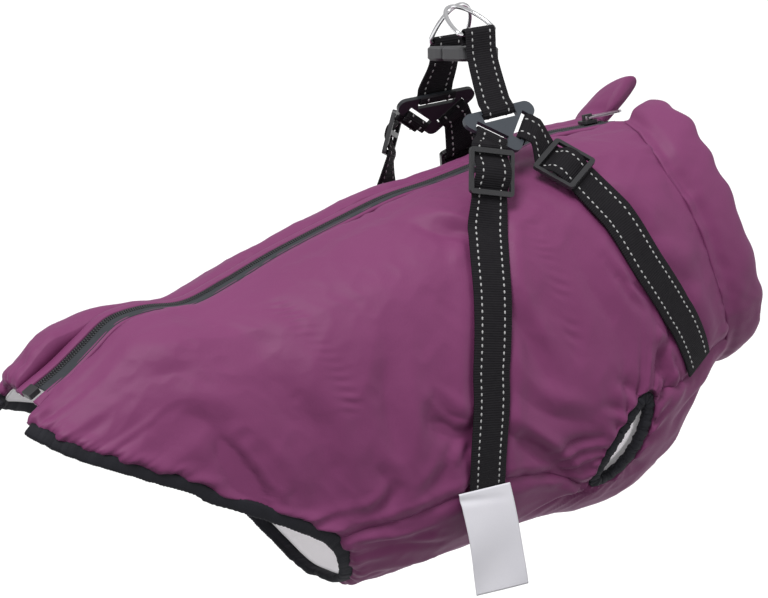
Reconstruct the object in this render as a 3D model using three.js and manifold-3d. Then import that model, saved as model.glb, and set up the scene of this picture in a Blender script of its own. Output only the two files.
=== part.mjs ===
import * as THREE from "three";
import { mergeVertices } from "three/addons/utils/BufferGeometryUtils.js";
import Module from "manifold-3d";

// Padded winter coat for a dog, with a zip along the back and a webbing harness sewn to it.
// It hangs by its two rings, filled out, with the neck towards +X and the dog's right side
// towards -Y. Millimetres, +Z up, the origin is the point where the crossed rings are held.

// Driving sizes
const PITCH = THREE.MathUtils.degToRad(16);
const ROUNDNESS = 2.4;
const CHANNEL = { depth: 3.5, half: 30 };
const WALL = { padded: 5, edge: 2 };
const SEAM_GAP = 0.3;
const LINING = { gap: 1.3, thickness: 0.8 };
const BINDING = { width: 9.2, thickness: 4.6, sunk: 1.7 };
const STRAP = { width: 25, thickness: 1.6 };
const CHAIN = { half: 3.2, thickness: 2.4 };
const TAPE = { inner: 3.5, outer: 12.6, low: -1.6, high: -0.6 };
const FACING = { inner: 7.6, outer: 13, low: 0.4, high: 1.8 };
const PLATE_THICKNESS = 3;
const RING = { half: 15.2, height: 27.5, wire: 1.4 };
const ZIP = { tailEnd: -340, neckEnd: 84, slider: 71 };

// Cross-sections of the body along the back: s is the place along it, zip the height of the
// zip line, belly the height of the belly line, half the half width, roll its turn in degrees.
const SECTIONS = [
  { s: -385, zip: -154, belly: -286, half: 46, roll: 13 },
  { s: -350, zip: -138, belly: -296, half: 58, roll: 12 },
  { s: -325, zip: -129, belly: -300, half: 65, roll: 11 },
  { s: -305, zip: -120, belly: -303, half: 70, roll: 10 },
  { s: -285, zip: -111.5, belly: -304, half: 74, roll: 8 },
  { s: -262, zip: -112, belly: -305, half: 78, roll: 6 },
  { s: -235, zip: -118, belly: -307, half: 82, roll: 4 },
  { s: -205, zip: -114.5, belly: -311.5, half: 86, roll: 3 },
  { s: -170, zip: -108.5, belly: -320, half: 89, roll: 1 },
  { s: -115, zip: -102.5, belly: -323, half: 92, roll: 0 },
  { s: -85, zip: -100, belly: -324.5, half: 93, roll: 0 },
  { s: -50, zip: -101, belly: -326, half: 94, roll: 0 },
  { s: 0, zip: -100, belly: -333, half: 93, roll: 0 },
  { s: 35, zip: -98, belly: -324, half: 89, roll: 0 },
  { s: 65, zip: -102, belly: -302, half: 83.5, roll: 0 },
  { s: 90, zip: -105, belly: -281, half: 77, roll: 0 },
  { s: 125, zip: -108, belly: -273, half: 73.5, roll: 0 },
];

// Hem and neck seam: place s at each angle, in degrees down from the spine.
const HEM = [
  { angle: 0, s: -368 },
  { angle: 22, s: -365 },
  { angle: 35, s: -360 },
  { angle: 52, s: -348 },
  { angle: 69, s: -326 },
  { angle: 86.5, s: -295 },
  { angle: 101, s: -257 },
  { angle: 111.5, s: -233 },
  { angle: 120.5, s: -217 },
  { angle: 131, s: -208.5 },
  { angle: 150, s: -202 },
  { angle: 180, s: -200 },
];
const NECK = [
  { angle: 0, s: 87 },
  { angle: 30, s: 80 },
  { angle: 50, s: 78 },
  { angle: 67, s: 82 },
  { angle: 90, s: 88 },
  { angle: 110, s: 94 },
  { angle: 130, s: 98 },
  { angle: 180, s: 101 },
];

// Seam between side panel and belly panel: angle at each place s.
const SEAM = [
  { s: -215, angle: 119 },
  { s: -160, angle: 119 },
  { s: -111, angle: 118 },
  { s: -75, angle: 122 },
  { s: -50, angle: 129.5 },
  { s: -32, angle: 135.4 },
  { s: 20, angle: 109.6 },
  { s: 40, angle: 113 },
  { s: 65, angle: 121 },
  { s: 102, angle: 132 },
];

// Half the gap that the zip and its facings fill, near and far, wider at the open tail slit.
const BACK_EDGE = [
  { s: -380, near: 27, far: 15 },
  { s: -358, near: 20, far: 14.4 },
  { s: -338, near: 14.2, far: 14.2 },
  { s: 110, near: 14.2, far: 14.2 },
];

// Leg hole: an ellipse on the surface, its long axis turned from the s axis.
const ARMHOLE = { s: -6, angle: 122.5, long: 37, short: 15, turn: THREE.MathUtils.degToRad(128) };

// Largest folds of the cloth: from one place to another, half width, and depth (a ridge is below 0).
const FOLDS = [
  { s0: -96, a0: 25, s1: -72, a1: 45, half: 9, depth: 3.2 },
  { s0: -148, a0: 89, s1: -112, a1: 98, half: 8, depth: 3.4 },
  { s0: -224, a0: 50, s1: -218, a1: 88, half: 16, depth: 2.2 },
  { s0: -284, a0: 64, s1: -254, a1: 90, half: 11, depth: 2.4 },
  { s0: -152, a0: 78, s1: -164, a1: 105, half: 7, depth: 2 },
  { s0: -205, a0: 25, s1: -192, a1: 90, half: 10, depth: 1.6 },
  { s0: -33, a0: 50, s1: -32, a1: 100, half: 9, depth: 1.8 },
  { s0: -94, a0: 100, s1: -50, a1: 128, half: 8, depth: 2.6 },
  { s0: 33, a0: 94, s1: 18, a1: 106, half: 7, depth: 3 },
  { s0: 79, a0: 50, s1: 86, a1: 86, half: 7, depth: 2.6 },
];

// Gathers of the elastic hem on each side
const GATHERS = { count: 11, rise: 1.3, reach: 34 };

// Harness straps on the coat: place s and angle of each point of the centre line.
const GIRTH_LINE = [
  { s: -46.5, angle: 31 },
  { s: -57.5, angle: 42 },
  { s: -68.5, angle: 55 },
  { s: -78.5, angle: 69 },
  { s: -88, angle: 81 },
  { s: -97.5, angle: 91.5 },
  { s: -105, angle: 102 },
  { s: -108.5, angle: 110 },
  { s: -110.4, angle: 118.4 },
];
const CHEST_LINE = [
  { s: 8, angle: 38 },
  { s: 13, angle: 50 },
  { s: 21.5, angle: 63 },
  { s: 31, angle: 76 },
  { s: 41, angle: 86 },
  { s: 51, angle: 95 },
  { s: 57.5, angle: 106 },
  { s: 61.5, angle: 116 },
];

// Value of one column of a table at a key, by smooth interpolation between its rows.
function lookUp(table, keyName, column, key) {
  const last = table.length - 1;
  const x = Math.min(Math.max(key, table[0][keyName]), table[last][keyName]);
  let i = 0;
  while (i < last - 1 && x > table[i + 1][keyName]) i += 1;
  const slope = (a, b) => (table[b][column] - table[a][column]) / (table[b][keyName] - table[a][keyName]);
  const start = slope(Math.max(i - 1, 0), i === 0 ? 1 : i + 1);
  const end = slope(i, Math.min(i + 2, last));
  const span = table[i + 1][keyName] - table[i][keyName];
  const t = (x - table[i][keyName]) / span;
  const hold = table[i][column] * (2 * t ** 3 - 3 * t ** 2 + 1);
  const next = table[i + 1][column] * (3 * t ** 2 - 2 * t ** 3);
  const leave = start * span * (t ** 3 - 2 * t ** 2 + t);
  const arrive = end * span * (t ** 3 - t ** 2);
  return hold + next + leave + arrive;
}

function smooth(value) {
  const t = Math.min(Math.max(value, 0), 1);
  return t * t * (3 - 2 * t);
}

function mix(a, b, t) {
  return a + (b - a) * t;
}

function power(value, exponent) {
  return Math.sign(value) * Math.abs(value) ** exponent;
}

// The coat's own frame, pitched nose-up, to the frame of the part.
function fromCoat(s, y, h) {
  const x = s * Math.cos(PITCH) - h * Math.sin(PITCH);
  const z = s * Math.sin(PITCH) + h * Math.cos(PITCH);
  return new THREE.Vector3(x, y, z);
}

// Outer form of the body: a rounded section at s, at a signed angle (below 0 on the near side).
function formPoint(s, angle) {
  const zip = lookUp(SECTIONS, "s", "zip", s);
  const belly = lookUp(SECTIONS, "s", "belly", s);
  const half = lookUp(SECTIONS, "s", "half", s);
  const roll = THREE.MathUtils.degToRad(lookUp(SECTIONS, "s", "roll", s));
  const top = zip + CHANNEL.depth;
  const turn = THREE.MathUtils.degToRad(angle);
  const y = half * power(Math.sin(turn), 2 / ROUNDNESS);
  const rise = 0.5 * (top - belly) * power(Math.cos(turn), 2 / ROUNDNESS);
  const sink = Math.abs(angle) < 90 ? CHANNEL.depth * (1 - smooth(Math.abs(y) / CHANNEL.half)) : 0;
  const down = 0.5 * (top + belly) + rise - sink - zip;
  const rolledY = y * Math.cos(roll) - down * Math.sin(roll);
  const rolledH = zip + down * Math.cos(roll) + y * Math.sin(roll);
  return fromCoat(s, rolledY, rolledH);
}

function formNormal(s, angle) {
  const step = 0.5;
  const along = formPoint(s + step, angle).sub(formPoint(s - step, angle));
  const round = formPoint(s, angle + step).sub(formPoint(s, angle - step));
  return along.cross(round).normalize();
}

function onForm(s, angle, lift) {
  return formPoint(s, angle).addScaledVector(formNormal(s, angle), lift);
}

// Angle at which the form is y away from the zip line.
function angleAt(s, y) {
  const half = lookUp(SECTIONS, "s", "half", s);
  const turn = Math.asin(Math.min((Math.abs(y) / half) ** (ROUNDNESS / 2), 1));
  return Math.sign(y) * THREE.MathUtils.radToDeg(turn);
}

const hemAt = (angle) => lookUp(HEM, "angle", "s", Math.abs(angle));
const neckAt = (angle) => lookUp(NECK, "angle", "s", Math.abs(angle));
const seamAt = (s) => lookUp(SEAM, "s", "angle", s);

// How far along s a step of one millimetre square to the hem goes.
function hemSlant(angle) {
  const s = hemAt(angle);
  const step = 1;
  const path = formPoint(hemAt(angle + step), angle + step).sub(formPoint(hemAt(angle - step), angle - step));
  const along = formPoint(s + step, angle).sub(formPoint(s - step, angle)).divideScalar(2 * step);
  path.normalize();
  const square = along.clone().addScaledVector(path, -along.dot(path));
  return 1 / square.length();
}

const panelStart = (angle) => hemAt(angle) + (BINDING.width + 4 * SEAM_GAP) * hemSlant(angle);
const panelEnd = (angle) => neckAt(angle) - SEAM_GAP;

// Depth of the soft folds at a place, in millimetres inwards.
function foldDepth(s, angle) {
  const perDegree = 1.7;
  let depth = 0;
  for (const fold of FOLDS) {
    const run = new THREE.Vector2(fold.s1 - fold.s0, perDegree * (fold.a1 - fold.a0));
    const from = new THREE.Vector2(s - fold.s0, perDegree * (angle - fold.a0));
    const t = Math.min(Math.max(from.dot(run) / run.lengthSq(), 0), 1);
    const away = from.addScaledVector(run, -t).length();
    const swell = 0.35 + 0.65 * Math.sin(Math.PI * Math.min(Math.max(t, 0.05), 0.95));
    depth += fold.depth * swell * Math.exp(-((away / fold.half) ** 2));
  }
  return depth;
}

// Wall thickness: flat at the hem, the neck seam and the zip, full between them.
function padding(s, angle) {
  const size = Math.abs(angle);
  const hem = smooth((s - hemAt(size)) / 55);
  const neck = smooth((neckAt(size) - s) / 22);
  return mix(WALL.edge, WALL.padded, hem * neck);
}

// Outer skin of the panels: the form with its folds, and gathers at the hem.
function skin(s, angle) {
  const size = Math.abs(angle);
  const room = padding(s, size) - 1.2;
  const inward = Math.min(foldDepth(s, size), room);
  const turn = (size / 119) * GATHERS.count * 2 * Math.PI;
  const fade = 1 - smooth((s - panelStart(size)) / GATHERS.reach);
  const gather = GATHERS.rise * fade * 0.5 * (1 + Math.cos(turn + 0.7 * Math.sin(0.37 * turn)));
  return gather - inward;
}

// Closed wall between two grids of points, made to face outwards.
function wallBetween(columns, rows, outer, inner) {
  const points = [];
  for (const face of [outer, inner]) {
    for (let j = 0; j <= rows; j += 1) {
      for (let i = 0; i <= columns; i += 1) points.push(...face(i / columns, j / rows).toArray());
    }
  }
  const count = (columns + 1) * (rows + 1);
  const at = (face, i, j) => face * count + j * (columns + 1) + i;
  const index = [];
  const quad = (a, b, c, d) => index.push(a, b, c, a, c, d);
  for (let j = 0; j < rows; j += 1) {
    for (let i = 0; i < columns; i += 1) {
      quad(at(0, i, j), at(0, i + 1, j), at(0, i + 1, j + 1), at(0, i, j + 1));
      quad(at(1, i, j), at(1, i, j + 1), at(1, i + 1, j + 1), at(1, i + 1, j));
    }
  }
  const rim = [];
  for (let i = 0; i < columns; i += 1) rim.push([i, 0]);
  for (let j = 0; j < rows; j += 1) rim.push([columns, j]);
  for (let i = columns; i > 0; i -= 1) rim.push([i, rows]);
  for (let j = rows; j > 0; j -= 1) rim.push([0, j]);
  rim.forEach(([i, j], k) => {
    const [p, q] = rim[(k + 1) % rim.length];
    quad(at(0, p, q), at(0, i, j), at(1, i, j), at(1, p, q));
  });
  return facingOut(points, index);
}

// Indexed geometry whose faces point outwards.
function facingOut(points, index) {
  const corner = (k) => new THREE.Vector3().fromArray(points, 3 * index[k]);
  let volume = 0;
  for (let k = 0; k < index.length; k += 3) volume += corner(k).dot(corner(k + 1).cross(corner(k + 2)));
  if (volume < 0) {
    for (let k = 0; k < index.length; k += 3) {
      const kept = index[k + 1];
      index[k + 1] = index[k + 2];
      index[k + 2] = kept;
    }
  }
  const geometry = new THREE.BufferGeometry();
  geometry.setAttribute("position", new THREE.Float32BufferAttribute(points, 3));
  geometry.setIndex(index);
  return geometry;
}

// Section carried along stations, each with its place, its across and its outward direction.
function sweep(stations, profileAt, closed) {
  const sides = profileAt(0).length;
  const points = [];
  stations.forEach((station, k) => {
    for (const [a, b] of profileAt(k)) {
      const p = station.at.clone().addScaledVector(station.across, a).addScaledVector(station.out, b);
      points.push(p.x, p.y, p.z);
    }
  });
  const index = [];
  const runs = closed ? stations.length : stations.length - 1;
  for (let k = 0; k < runs; k += 1) {
    const here = k * sides;
    const next = ((k + 1) % stations.length) * sides;
    for (let i = 0; i < sides; i += 1) {
      const j = (i + 1) % sides;
      index.push(here + i, next + i, next + j, here + i, next + j, here + j);
    }
  }
  if (!closed) {
    const end = (stations.length - 1) * sides;
    for (let i = 1; i < sides - 1; i += 1) {
      index.push(0, i, i + 1);
      index.push(end, end + i + 1, end + i);
    }
  }
  return facingOut(points, index);
}

// Rounded flat section of a bound edge or a cord of wadding
function ovalProfile(width, thickness, sides) {
  const profile = [];
  for (let i = 0; i < sides; i += 1) {
    const t = ((i + 0.5) / sides) * 2 * Math.PI;
    profile.push([0.5 * width * power(Math.cos(t), 0.6), 0.5 * thickness * power(Math.sin(t), 0.6)]);
  }
  return profile;
}

function flatProfile(width, thickness) {
  const a = width / 2;
  const b = thickness / 2;
  return [[-a, -b], [a, -b], [a, b], [-a, b]];
}

const library = await Module();
library.setup();

function positionsOnly(geometry) {
  geometry.deleteAttribute("normal");
  geometry.deleteAttribute("uv");
  return geometry;
}

function toSolid(geometry) {
  const merged = mergeVertices(geometry, 1e-4);
  const mesh = new library.Mesh({
    numProp: 3,
    vertProperties: new Float32Array(merged.attributes.position.array),
    triVerts: new Uint32Array(merged.index.array),
  });
  return new library.Manifold(mesh);
}

function subtract(geometry, ...cutters) {
  let solid = toSolid(geometry);
  for (const cutter of cutters) solid = solid.subtract(toSolid(cutter));
  return fromSolid(solid);
}

function fromSolid(solid) {
  const mesh = solid.getMesh();
  const result = new THREE.BufferGeometry();
  result.setAttribute("position", new THREE.BufferAttribute(new Float32Array(mesh.vertProperties), 3));
  result.setIndex(new THREE.BufferAttribute(new Uint32Array(mesh.triVerts), 1));
  return result;
}

// A point of the leg hole's ellipse, drawn in or out by a margin.
function armholePlace(t, margin) {
  const a = (ARMHOLE.long + margin) * Math.cos(t);
  const b = (ARMHOLE.short + margin) * Math.sin(t);
  const perDegree = formPoint(ARMHOLE.s, ARMHOLE.angle).distanceTo(formPoint(ARMHOLE.s, ARMHOLE.angle + 1));
  const s = ARMHOLE.s + a * Math.cos(ARMHOLE.turn) - b * Math.sin(ARMHOLE.turn);
  const arc = a * Math.sin(ARMHOLE.turn) + b * Math.cos(ARMHOLE.turn);
  return { s, angle: ARMHOLE.angle + arc / perDegree };
}

// Plug through the wall, which leaves the leg hole when it is taken away
function armholePlug(side) {
  const steps = 36;
  const points = [];
  const index = [];
  for (const lift of [9, -14]) {
    for (let k = 0; k < steps; k += 1) {
      const place = armholePlace((2 * Math.PI * k) / steps, 0);
      points.push(...onForm(place.s, side * place.angle, lift).toArray());
    }
  }
  for (const lift of [9, -14]) points.push(...onForm(ARMHOLE.s, side * ARMHOLE.angle, lift).toArray());
  for (let k = 0; k < steps; k += 1) {
    const next = (k + 1) % steps;
    index.push(k, next, steps + next, k, steps + next, steps + k);
    index.push(2 * steps, next, k);
    index.push(2 * steps + 1, steps + k, steps + next);
  }
  return facingOut(points, index);
}

// Places of a side panel: u from the zip to the belly seam, v from the hem to the neck.
function sidePlace(side, u, v) {
  const column = side < 0 ? "near" : "far";
  const top = (s) => Math.abs(angleAt(s, lookUp(BACK_EDGE, "s", column, s)));
  const angle = (s) => mix(top(s), seamAt(s) - 0.2, u);
  let start = mix(-360, -195, u);
  let end = 90;
  for (let turn = 0; turn < 24; turn += 1) {
    start = 0.5 * (start + panelStart(angle(start)));
    end = 0.5 * (end + panelEnd(angle(end)));
  }
  const s = mix(start, end, v);
  return { s, angle: angle(s) };
}

// Places of the belly panel: u from the near seam to the far one, v from the hem to the neck.
function bellyPlace(u, v) {
  const side = u < 0.5 ? -1 : 1;
  const share = Math.abs(2 * u - 1);
  const angle = (s) => mix(180, seamAt(s) + 0.2, share);
  let start = -190;
  let end = 98;
  for (let turn = 0; turn < 24; turn += 1) {
    start = 0.5 * (start + panelStart(angle(start)));
    end = 0.5 * (end + panelEnd(angle(end)));
  }
  const s = mix(start, end, v);
  return { s, angle: side * angle(s) };
}

// Rows of a panel stand closer at the gathered hem.
const PANEL_ROWS = 18;
const hemCloser = (v) => v ** 1.35;

const PLUGS = { near: armholePlug(-1), far: armholePlug(1) };
const plugOf = (side) => (side < 0 ? PLUGS.near : PLUGS.far);

function sidePanel(side) {
  const grid = (lift) => (u, v) => {
    const place = sidePlace(side, u, hemCloser(v));
    return onForm(place.s, side * place.angle, lift(place.s, place.angle));
  };
  const wall = wallBetween(28, PANEL_ROWS, grid(skin), grid((s, angle) => -padding(s, angle)));
  return subtract(wall, plugOf(side));
}

function bellyPanel() {
  const grid = (lift) => (u, v) => {
    const place = bellyPlace(u, hemCloser(v));
    return onForm(place.s, place.angle, lift(place.s, place.angle));
  };
  const bellySkin = (s, angle) => (Math.abs(angle) > 178 ? 0 : skin(s, angle));
  const wall = wallBetween(12, PANEL_ROWS, grid(bellySkin), grid((s, angle) => -padding(s, angle)));
  return subtract(wall, PLUGS.near, PLUGS.far);
}

// Lining: a thin skin inside each panel
function lining(columns, placeOf, ...cutters) {
  const grid = (extra) => (u, v) => {
    const place = placeOf(u, v);
    const lift = -padding(place.s, place.angle) - LINING.gap - extra;
    return onForm(place.s, place.angle, lift);
  };
  return subtract(wallBetween(columns, PANEL_ROWS, grid(0), grid(LINING.thickness)), ...cutters);
}

function sideLining(side) {
  const placeOf = (u, v) => {
    const place = sidePlace(side, mix(0.01, 0.985, u), hemCloser(v));
    return { s: place.s, angle: side * place.angle };
  };
  return lining(8, placeOf, plugOf(side));
}

function bellyLining() {
  const placeOf = (u, v) => bellyPlace(mix(0.03, 0.97, u), hemCloser(v));
  return lining(6, placeOf, PLUGS.near, PLUGS.far);
}

// Black elastic round the hem, from one corner of the tail slit under the belly to the other
function hemBinding() {
  const steps = 104;
  const nearEnd = Math.abs(angleAt(-366, 23));
  const farEnd = Math.abs(angleAt(-371, 14));
  const stations = [];
  for (let k = 0; k <= steps; k += 1) {
    const t = (2 * k) / steps;
    const angle = t <= 1 ? -mix(nearEnd, 180, t) : mix(180, farEnd, t - 1);
    const inset = 0.5 * BINDING.width * hemSlant(Math.min(Math.abs(angle), 179));
    const s = hemAt(angle) + inset;
    const size = Math.abs(angle) > 179 ? 179.5 * Math.sign(angle) : angle;
    stations.push({ at: onForm(s, size, -BINDING.sunk), out: formNormal(s, size) });
  }
  alignAcross(stations, false);
  return sweep(stations, () => ovalProfile(BINDING.width, BINDING.thickness, 6), false);
}

// Black elastic round a leg hole
function armholeBinding(side) {
  const steps = 36;
  const width = 7.6;
  const stations = [];
  for (let k = 0; k < steps; k += 1) {
    const place = armholePlace((2 * Math.PI * k) / steps, -width / 2 - 4 * SEAM_GAP);
    const normal = formNormal(place.s, side * place.angle);
    stations.push({ at: onForm(place.s, side * place.angle, -2.6), out: normal });
  }
  alignAcross(stations, true);
  return sweep(stations, () => ovalProfile(width, 5.4, 6), true);
}

// Across direction of each station, square to its path and to its outward direction.
function alignAcross(stations, closed) {
  const last = stations.length - 1;
  stations.forEach((station, k) => {
    const before = stations[k === 0 ? (closed ? last : 0) : k - 1].at;
    const after = stations[k === last ? (closed ? 0 : last) : k + 1].at;
    const path = after.clone().sub(before).normalize();
    station.across = path.clone().cross(station.out).normalize();
    station.out = station.across.clone().cross(path).normalize();
  });
}

// Collar: one padded band round the neck, open at the back, its back ends standing up.
const COLLAR = { opening: 9, steps: 46, waves: 16, wave: 1.3 };
const COLLAR_WIDTH = [
  { angle: 0, near: 26, far: 27 },
  { angle: 18, near: 33, far: 28 },
  { angle: 40, near: 42, far: 38 },
  { angle: 75, near: 41, far: 41 },
  { angle: 110, near: 36, far: 37 },
  { angle: 140, near: 31, far: 32 },
  { angle: 180, near: 30, far: 30 },
];
const COLLAR_STAND = [
  { angle: 0, near: 16, far: 62 },
  { angle: 20, near: 12, far: 34 },
  { angle: 45, near: 4, far: 8 },
  { angle: 90, near: 0, far: 0 },
  { angle: 180, near: 4, far: 4 },
];
const COLLAR_SECTION = [
  { out: 0.2, along: 0.004 },
  { out: 2.2, along: 0.2 },
  { out: 3.4, along: 0.5 },
  { out: 2.8, along: 0.8 },
  { out: -0.2, along: 0.97 },
  { out: -4.4, along: 1 },
  { out: -7.4, along: 0.9 },
  { out: -7.8, along: 0.6 },
  { out: -6.2, along: 0.25 },
  { out: -4.6, along: 0.004 },
];

function collar() {
  const startNear = Math.abs(angleAt(86, COLLAR.opening));
  const stations = [];
  const widths = [];
  for (let k = 0; k <= COLLAR.steps; k += 1) {
    const t = (2 * k) / COLLAR.steps;
    const size = t <= 1 ? mix(startNear, 180, t) : mix(180, startNear, t - 1);
    const side = t <= 1 ? -1 : 1;
    const column = side < 0 ? "near" : "far";
    const angle = side * Math.min(size, 179.5);
    const s = neckAt(size) + SEAM_GAP;
    const normal = formNormal(s, angle);
    const along = formPoint(s + 1, angle).sub(formPoint(s - 1, angle)).normalize();
    const stand = THREE.MathUtils.degToRad(lookUp(COLLAR_STAND, "angle", column, size));
    const wave = COLLAR.wave * Math.cos(COLLAR.waves * Math.PI * t + side * 0.8);
    widths.push(lookUp(COLLAR_WIDTH, "angle", column, size) + wave);
    stations.push({
      at: formPoint(s, angle),
      across: along.clone().multiplyScalar(Math.cos(stand)).addScaledVector(normal, Math.sin(stand)),
      out: normal.clone().multiplyScalar(Math.cos(stand)).addScaledVector(along, -Math.sin(stand)),
    });
  }
  const profileAt = (k) => COLLAR_SECTION.map((row) => [row.along * widths[k] + 0.2, row.out]);
  return sweep(stations, profileAt, false);
}

// Strip that lies along the zip between two distances from its centre line.
function zipStrip(from, side, strip) {
  const grid = (lift) => (u, v) => {
    const s = mix(from, ZIP.neckEnd, u);
    return onForm(s, angleAt(s, side * mix(strip.inner, strip.outer, v)), lift);
  };
  return wallBetween(30, 1, grid(strip.high), grid(strip.low));
}

function zipChain() {
  const stations = [];
  const steps = 34;
  for (let k = 0; k <= steps; k += 1) {
    const s = mix(ZIP.tailEnd, ZIP.neckEnd, k / steps);
    stations.push({ at: onForm(s, 0, 0.2), out: formNormal(s, 0) });
  }
  alignAcross(stations, false);
  return sweep(stations, () => ovalProfile(2 * CHAIN.half, CHAIN.thickness, 6), false);
}

// Matrix that places a small part on the zip line, its x along the zip and its z outwards.
function onZip(s, lift) {
  const along = formPoint(s + 1, 0).sub(formPoint(s - 1, 0)).normalize();
  const out = formNormal(s, 0);
  const across = out.clone().cross(along).normalize();
  const matrix = new THREE.Matrix4().makeBasis(along, across, out);
  return matrix.setPosition(onForm(s, 0, lift));
}

// Zip slider: a plate over the chain with an arch, and the pull tab whose pin lies in the arch.
const SLIDE = { length: 11, width: 9.4, plate: 1.8, lift: 2.7, post: 1.2, reach: 2.6, arch: 2.4, rise: 4 };
const PULL = { length: 27, width: 6.8, thickness: 1.4, pin: 0.7, window: 5.2, inner: 1.9, height: 2.6 };

function unite(...pieces) {
  const solids = pieces.map(toSolid);
  return fromSolid(solids.slice(1).reduce((whole, piece) => whole.add(piece), solids[0]));
}

function block(sizeX, sizeY, sizeZ, x, y, z) {
  const box = new THREE.BoxGeometry(sizeX, sizeY, sizeZ).translate(x, y, z);
  return positionsOnly(box);
}

function zipSlider() {
  const plate = roundedPlate(roundedBox(SLIDE.length, SLIDE.width, 2.4), SLIDE.plate);
  const postHeight = SLIDE.rise + 0.4;
  const postAt = SLIDE.plate / 2 + SLIDE.rise / 2 - 0.4;
  const posts = [-1, 1].map((end) => block(SLIDE.post, SLIDE.arch, postHeight, end * SLIDE.reach, 0, postAt));
  const top = block(2 * SLIDE.reach + SLIDE.post, SLIDE.arch, 1.1, 0, 0, SLIDE.plate / 2 + SLIDE.rise - 0.6);
  return unite(positionsOnly(plate), ...posts, top);
}

function zipPull() {
  const shape = new THREE.Shape();
  const half = PULL.width / 2;
  shape.moveTo(-PULL.pin, -half);
  shape.lineTo(PULL.length - half, -half * 0.8);
  shape.absarc(PULL.length - half, 0, half * 0.8, -Math.PI / 2, Math.PI / 2);
  shape.lineTo(-PULL.pin, half);
  shape.closePath();
  const middle = (PULL.pin + PULL.window) / 2;
  shape.holes.push(slot(middle, 0, PULL.window - PULL.pin, 2 * PULL.inner, 0));
  return roundedPlate(shape, PULL.thickness);
}

function roundedPlate(shape, thickness) {
  const geometry = new THREE.ExtrudeGeometry(shape, { depth: thickness, bevelEnabled: false, curveSegments: 4 });
  return geometry.translate(0, 0, -thickness / 2);
}

function roundedBox(width, height, radius) {
  const shape = new THREE.Shape();
  const a = width / 2 - radius;
  const b = height / 2 - radius;
  shape.absarc(a, b, radius, 0, Math.PI / 2);
  shape.absarc(-a, b, radius, Math.PI / 2, Math.PI);
  shape.absarc(-a, -b, radius, Math.PI, 1.5 * Math.PI);
  shape.absarc(a, -b, radius, 1.5 * Math.PI, 2 * Math.PI);
  shape.closePath();
  return shape;
}

function slot(centreX, centreY, length, width, turn) {
  const path = new THREE.Path();
  const ends = [[-1, -1], [-1, 1], [1, 1], [1, -1]];
  ends.forEach(([i, j], k) => {
    const a = (i * length) / 2;
    const b = (j * width) / 2;
    const x = centreX + a * Math.cos(turn) - b * Math.sin(turn);
    const y = centreY + a * Math.sin(turn) + b * Math.cos(turn);
    if (k === 0) path.moveTo(x, y);
    else path.lineTo(x, y);
  });
  path.closePath();
  return path;
}

// Three-slot plate: the hull of three round corners, with a slot beside each edge.
const PLATE = {
  top: { x: 0, y: 11, length: 25, turn: 0 },
  chest: { x: 11.56, y: 1, length: 21, turn: THREE.MathUtils.degToRad(42.3) },
  girth: { x: -11.56, y: 1, length: 21, turn: THREE.MathUtils.degToRad(-42.3) },
  slotWidth: 5.6,
};

function triPlate() {
  const corners = [
    { x: 21.5, y: 11, radius: 5.5, from: -0.76, to: 1.57 },
    { x: -21.5, y: 11, radius: 5.5, from: 1.57, to: 3.9 },
    { x: 0, y: -9.5, radius: 5.2, from: 3.9, to: 5.52 },
  ];
  const shape = new THREE.Shape();
  corners.forEach((corner) => shape.absarc(corner.x, corner.y, corner.radius, corner.from, corner.to));
  shape.closePath();
  for (const hole of [PLATE.top, PLATE.chest, PLATE.girth]) {
    shape.holes.push(slot(hole.x, hole.y, hole.length + 1, PLATE.slotWidth, hole.turn));
  }
  return roundedPlate(shape, PLATE_THICKNESS);
}

// Frame of a plate on one side: origin, and the directions of its own x, y and face.
function plateFrame(side) {
  const x = new THREE.Vector3(0.98, -0.108 * side, 0.164).normalize();
  const y = new THREE.Vector3(-0.196, -0.539 * side, 0.818).normalize();
  const z = side < 0 ? x.clone().cross(y) : y.clone().cross(x);
  const at = side < 0 ? new THREE.Vector3(5.3, -47, -78.1) : new THREE.Vector3(6.5, 42.5, -71.5);
  return { at, x, y, z };
}

// The plate is alike end for end, so the far one is turned over end for end.
function placedPlate(side) {
  const frame = plateFrame(side);
  const x = frame.x.clone().multiplyScalar(-side);
  return placed({ ...frame, x }, 0);
}

// Stations of webbing looped round the bar of a plate's slot, from its underside to its face.
function loopRound(plate, hole, outward) {
  const along = plate.x.clone().multiplyScalar(outward[0]).addScaledVector(plate.y, outward[1]).normalize();
  const centre = plate.at.clone().addScaledVector(plate.x, hole.x).addScaledVector(plate.y, hole.y);
  const rows = [
    { reach: 6.8, rise: -2.8, tilt: -90 },
    { reach: 3.2, rise: -2.8, tilt: -90 },
    { reach: 1.1, rise: -1.5, tilt: -150 },
    { reach: 0.6, rise: 0, tilt: 180 },
    { reach: 1.1, rise: 1.5, tilt: 150 },
    { reach: 3.2, rise: 2.8, tilt: 90 },
    { reach: 6.8, rise: 2.8, tilt: 90 },
    { reach: 9.8, rise: 2.8, tilt: 90 },
  ];
  return rows.map((row) => {
    const tilt = THREE.MathUtils.degToRad(row.tilt);
    return {
      at: centre.clone().addScaledVector(along, row.reach).addScaledVector(plate.z, row.rise),
      out: along.clone().multiplyScalar(Math.cos(tilt)).addScaledVector(plate.z, Math.sin(tilt)),
      width: hole.length - 0.6,
    };
  });
}

// Slider that joins two runs of webbing: a frame with a middle bar.
const SLIDER = { width: 31, length: 29, thickness: 2.6, bar: 3.2, window: 26, rise: 2.6 };

function slider() {
  const shape = roundedBox(SLIDER.width, SLIDER.length, 2.5);
  const opening = (SLIDER.length - 3 * SLIDER.bar) / 2;
  for (const end of [-1, 1]) {
    shape.holes.push(slot(0, (end * (opening + SLIDER.bar)) / 2, SLIDER.window, opening, 0));
  }
  return roundedPlate(shape, SLIDER.thickness);
}

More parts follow.
